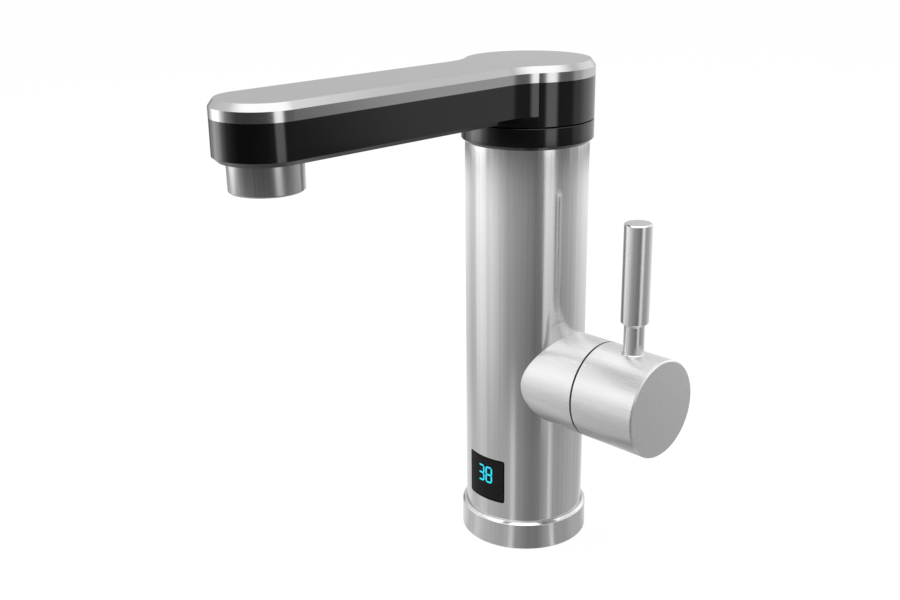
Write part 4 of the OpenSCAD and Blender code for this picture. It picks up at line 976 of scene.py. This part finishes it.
# %% [markdown]
# The digits glow cyan through the window. They give their own light, so they look the same in any room,
# and small cells of noise keep that light from being one flat colour.

# %% Cyan glow
glow = Finish("cyan_glow", Emission_Strength=1.0, Roughness=0.4, Base_Color=(0.0, 0.12, 0.15, 1))
cells = glow.noise(glow.place, scale=900.0, detail=1.0)
glow.set("Emission Color", glow.blend(cells, (0.0, 0.52, 0.72), (0.02, 0.80, 0.95)))
glow.on(*digit_pieces)
print("finished", [piece.name for piece in digit_pieces])

# %% [markdown]
# ## Inner parts
# The parts inside are seen through the openings below or when the model is taken apart.
# They keep their shape from the frame, and each gets the finish of what it is made of.
# One function serves them all, because cast, drawn and moulded surfaces differ in little but numbers.

# %% One function for the plain inner finishes
BROADER = 12
MOTTLED_ROUGH = 0.12


def inner_finish(name, dark, light, rough, metal=0.0, scale=400.0, relief=0.05):
    """A cast, drawn or moulded surface: fine mottling in its colour, roughness and relief."""
    made = Finish(name, Metallic=metal)
    mottle = made.noise(made.place, scale, detail=4.0)
    broad = made.noise(made.place, scale / BROADER, detail=2.0)
    made.set("Base Color", made.blend(mottle * 0.7 + broad * 0.3, dark, light))
    made.set("Roughness", rough + mottle * MOTTLED_ROUGH)
    made.bump(mottle, relief, distance=0.1 * MM)
    return made


# %% Finish the inner parts by their slot in the record
INNER = {
    "cast_alloy": inner_finish(
        "cast_alloy", (0.50, 0.50, 0.51), (0.64, 0.64, 0.65), 0.42, metal=1.0, scale=700.0, relief=0.15),
    "brass": inner_finish("turned_brass", (0.62, 0.44, 0.18), (0.78, 0.58, 0.27), 0.22, metal=1.0),
    "copper": inner_finish("drawn_copper", (0.68, 0.33, 0.20), (0.82, 0.43, 0.28), 0.25, metal=1.0),
    "steel_parts": inner_finish("plain_steel", (0.48, 0.48, 0.49), (0.62, 0.62, 0.63), 0.3, metal=1.0),
    "tank_steel": inner_finish(
        "tank_steel", (0.56, 0.57, 0.58), (0.68, 0.69, 0.70), 0.28, metal=1.0, scale=250.0),
    "black_plastic": inner_finish("black_moulding", (0.02, 0.02, 0.021), (0.035, 0.035, 0.037), 0.45),
    "ivory_plastic": inner_finish("ivory_moulding", (0.74, 0.72, 0.66), (0.82, 0.80, 0.74), 0.42),
    "board_green": inner_finish("circuit_board", (0.02, 0.16, 0.06), (0.04, 0.24, 0.10), 0.35),
    "relay_blue": inner_finish("relay_case", (0.05, 0.16, 0.42), (0.08, 0.22, 0.52), 0.3),
    "cartridge_white": inner_finish("cartridge_moulding", (0.80, 0.80, 0.79), (0.88, 0.88, 0.87), 0.38),
    "fired_ceramic": inner_finish("fired_ceramic", (0.82, 0.80, 0.75), (0.90, 0.89, 0.85), 0.18, scale=900.0),
    "seal_rubber": inner_finish("seal_rubber", (0.015, 0.015, 0.015), (0.03, 0.03, 0.03), 0.6),
}
slot_of = {part["node"]: part["material_slot"] for part in frame["record"]["subparts"]}
for node, thing in frame["nodes"].items():
    finish = INNER.get(slot_of[node])
    if finish:
        finish.on(thing)
print("inner finishes", len(INNER), "on", sum(slot_of[n] in INNER for n in frame["nodes"]), "nodes")

# %% [markdown]
# ## Studio
# The floor and the backdrop are white. Light Path shows that white to the camera, to mirrors and through
# glass, while the light that falls on the tap stays at a plain level.

# %% White world
AMBIENT = 0.55
WHITE = (1, 1, 1, 1)


def straight_rays(tree):
    """1 for rays from the camera, off a mirror or through glass, and 0 for the light of the room."""
    path = tree.nodes.new("ShaderNodeLightPath").outputs
    seen = Wire(tree, path["Is Camera Ray"])
    mirrored = Wire(tree, path["Is Glossy Ray"])
    through = Wire(tree, path["Is Transmission Ray"])
    return seen.math("MINIMUM", seen + mirrored + through, 1.0)


bpy.context.scene.view_settings.view_transform = "Standard"
world = bpy.data.worlds.new("white_studio")
bpy.context.scene.world = world
world.use_nodes = True
background = world.node_tree.nodes["Background"]
background.inputs["Color"].default_value = WHITE
air = Wire(world.node_tree)
air.feed(background.inputs["Strength"], AMBIENT + straight_rays(world.node_tree) * (1 - AMBIENT))
print("world nodes", len(world.node_tree.nodes))

# %% [markdown]
# The floor is matt white paper. Mixed with plain light for the straight rays it looks white to the
# camera, and the part that stays matt keeps the tap's soft shadow.

# %% Floor
FLOOR_SIZE = 60
FLOOR_LIGHT = 1.02
FLOOR_GLOW = 0.94
bpy.ops.object.select_all(action="DESELECT")
bpy.ops.mesh.primitive_plane_add(size=FLOOR_SIZE, location=(0, 0, 0))
floor = bpy.context.object
floor.name = "studio_floor"
floor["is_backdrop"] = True
paper = Finish("floor_paper", Roughness=0.9)
fibre = paper.noise(paper.place, scale=40.0, detail=2.0)
paper.set("Base Color", paper.blend(fibre, (0.90, 0.90, 0.90), (0.94, 0.94, 0.94)))
glowing = paper.wire.node("ShaderNodeEmission", {"Color": WHITE, "Strength": FLOOR_LIGHT})
matt = Wire(paper.tree, paper.shader.outputs[0])
share = straight_rays(paper.tree) * FLOOR_GLOW
paper.surface(paper.wire.node("ShaderNodeMixShader", {0: share, 1: matt, 2: glowing}))
paper.on(floor)
print("floor of", FLOOR_SIZE, "metres")

# %% [markdown]
# ## Tent of panels
# Metal shows what stands round it, and polished metal with nothing dark to mirror looks like paper.
# So the tap stands in a tent of light and dark panels that only its reflections see, as a photographer
# sets flags and strip lights round bright metal. Many small planes could do this, but one dome with ramps
# round it has soft edges everywhere.

# %% Brightness of the panels
# Each panel's edge: degrees anticlockwise from the camera, then the panel's brightness.
# An upright surface, seen from above, mirrors the floor: its foot mirrors the floor close by
FOOT_PANELS = [
    (-180, 0.85), (-143, 0.76), (-123, 0.58), (-109, 0.64), (-96, 0.74), (-85, 0.66), (-75, 0.57),
    (-56, 0.51), (-45, 0.46), (-28, 0.50), (-25, 0.72), (-20, 0.72), (-15, 0.35), (-6, 0.31), (2, 0.26),
    (10, 0.22), (27, 0.23), (35, 0.33), (47, 0.46), (49, 0.74), (54, 0.74), (58, 0.40), (79, 0.40),
    (90, 0.44), (102, 0.51), (132, 0.50), (150, 0.60), (180, 0.85),
]
# The tube's length mirrors the middle of the floor
NEAR_PANELS = [
    (-180, 0.90), (-144, 0.92), (-128, 0.74), (-114, 0.72), (-104, 1.18), (-90, 1.18), (-82, 1.00),
    (-64, 0.92), (-52, 0.72), (-40, 0.53), (-28, 0.43), (-6, 0.34), (6, 0.28), (18, 0.22), (31.5, 0.20),
    (34.5, 0.95), (50, 0.86), (54, 0.60), (57, 0.44), (60, 0.36), (66, 0.36), (72, 0.42), (92, 0.50),
    (110, 0.74), (134, 0.94), (180, 0.90),
]
# The black parts and the cover's band mirror the part further off
FAR_PANELS = [
    (-180, 0.70), (-139, 0.20), (-118, 1.20), (-108, 2.60), (-92, 2.60), (-82, 1.20), (-69, 0.34),
    (-56, 0.16), (-45, 0.06), (-18, 0.06), (14, 0.10), (29, 0.22), (34, 1.85), (48, 1.85), (54, 0.18),
    (80, 0.20), (88, 0.58), (98, 0.58), (113, 1.00), (134, 1.05), (180, 0.70),
]
# The sloping faces mirror these, higher up
CEILING_PANELS = [
    (-180, 0.68), (-130, 0.85), (-105, 1.05), (-70, 1.20), (-50, 1.50), (-15, 1.50), (0, 0.70),
    (60, 0.70), (85, 0.98), (108, 0.98), (124, 1.35), (146, 1.35), (166, 0.75), (180, 0.68),
]
# Straight above hangs one bright sheet, which lights the bevels that look up
CROWN = 2.1
PEAK = 4.0
print("panel edges", [len(p) for p in (FOOT_PANELS, NEAR_PANELS, FAR_PANELS, CEILING_PANELS)])

# %% Where one ring of panels takes over from the next
TENT_R = 3.0
# On the floor, in metres from the tap's axis: from the foot's to the near ones, and on to the far ones
NEAR_FROM, NEAR_TO = 0.14, 0.30
FAR_FROM, FAR_TO = 1.04, 1.08
# Over the floor, as shares of the way up: to the ceiling's, and on to the crown
CEILING_FROM, CEILING_TO = 0.06, 0.18
CROWN_FROM, CROWN_TO = 0.50, 0.62
# Distance from the axis in metres, then how much of the near panels' light is left there
NEAR_FADE = [(0.14, 0.68), (0.40, 0.86), (0.72, 1.08), (0.85, 1.06), (0.95, 0.75), (1.02, 0.32)]
camera_azimuth = atan2(CAMERA_AT.y, CAMERA_AT.x)
print("camera azimuth", round(degrees(camera_azimuth), 2))


# %% Light of the tent
def grey(value):
    return (value, value, value, 1)


def panel_ramp(wire, turn, panels):
    """The panels' light, as a share of the peak, for a turn from 0 to 1 round the tap."""
    stops = [((a + 180) / 360, grey(v / PEAK)) for a, v in panels]
    return wire.node("ShaderNodeValToRGB", {0: turn}, stops=stops)


def panel_glow(name):
    """Light that depends on the place round the tap and on the height."""
    tent = Finish(name)
    wire = tent.wire
    ahead = tent.x * cos(camera_azimuth) + tent.y * sin(camera_azimuth)
    left = tent.y * cos(camera_azimuth) - tent.x * sin(camera_azimuth)
    flat = wire.math("POWER", tent.x * tent.x + tent.y * tent.y, 0.5)
    # Close to the tap a mirrored ray has hardly left its surface, so the panels fan out faster there
    spread = 1.0 - TUBE_R / 2 / wire.math("MAXIMUM", flat, TUBE_R)
    turn = wire.math("ARCTAN2", left, ahead) / spread / (2 * pi)
    turn = wire.math("MINIMUM", wire.math("MAXIMUM", turn, -0.5), 0.5) + 0.5
    fade_stops = [(r / TENT_R, grey(v)) for r, v in NEAR_FADE]
    fade = wire.node("ShaderNodeValToRGB", {0: flat / TENT_R}, stops=fade_stops)
    near = wire.node(
        "ShaderNodeVectorMath", {0: panel_ramp(wire, turn, NEAR_PANELS), 1: fade}, operation="MULTIPLY")
    light = wire.mix(flat.step(NEAR_FROM, NEAR_TO), panel_ramp(wire, turn, FOOT_PANELS), near)
    light = wire.mix(flat.step(FAR_FROM, FAR_TO), light, panel_ramp(wire, turn, FAR_PANELS))
    rise = wire.math("ARCTAN2", tent.z, flat) / (pi / 2)
    light = wire.mix(rise.step(CEILING_FROM, CEILING_TO), light, panel_ramp(wire, turn, CEILING_PANELS))
    light = wire.mix(rise.step(CROWN_FROM, CROWN_TO), light, grey(CROWN / PEAK))
    tent.surface(wire.node("ShaderNodeEmission", {"Color": light, "Strength": PEAK}))
    return tent


# %% Pitch the tent
TENT_SEGMENTS = 96
TENT_RINGS = 48
OFF_FLOOR = 0.4 * MM
panel_light = panel_glow("reflector_panels")
bpy.ops.object.select_all(action="DESELECT")
bpy.ops.mesh.primitive_uv_sphere_add(
    segments=TENT_SEGMENTS, ring_count=TENT_RINGS, radius=TENT_R, location=(0, 0, 0))
tent = bpy.context.object
tent.name = "studio_tent"
bpy.ops.object.mode_set(mode="EDIT")
bpy.ops.mesh.select_all(action="SELECT")
bpy.ops.mesh.bisect(plane_co=(0, 0, OFF_FLOOR), plane_no=(0, 0, 1), clear_inner=True, use_fill=True)
bpy.ops.object.mode_set(mode="OBJECT")
tent.visible_camera = False
tent.visible_diffuse = False
tent.visible_shadow = False
tent.visible_transmission = False
tent.visible_volume_scatter = False
tent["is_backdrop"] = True
panel_light.on(tent)
tell(tent)

# %% [markdown]
# ## Lamps
# Two square lamps light the plastic, the paper and the dull parts of the metal. They stay out of the
# reflections, because the tent's panels stand there.

# %% Two soft boxes
def soft_box(name, at, aim, size, watts):
    """A square lamp that lights the scene and isn't itself mirrored."""
    data = bpy.data.lights.new(name, "AREA")
    data.size = size
    data.energy = watts
    lamp = bpy.data.objects.new(name, data)
    bpy.context.scene.collection.objects.link(lamp)
    lamp.location = at
    lamp.rotation_euler = (Vector(aim) - Vector(at)).to_track_quat("-Z", "Y").to_euler()
    lamp.visible_glossy = False
    print(name, "at", at)


COLUMN_MIDDLE = (0, 0, 0.1)
soft_box("overhead_box", at=(0.1, -0.1, 1.4), aim=COLUMN_MIDDLE, size=1.2, watts=14)
soft_box("side_box", at=(-1.0, -1.0, 0.9), aim=COLUMN_MIDDLE, size=0.9, watts=6)

# %% [markdown]
# ## Last check
# The visual model must stay inside the solid model's box. Both boxes are measured, and the largest step
# outside is printed.

# %% Compare the two boxes
shown_low, shown_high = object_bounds()
under = [c - s for c, s in zip(cad_low, shown_low)]
over = [s - c for c, s in zip(cad_high, shown_high)]
print("largest step outside the CAD box in mm", round(max(under + over) / MM, 3))
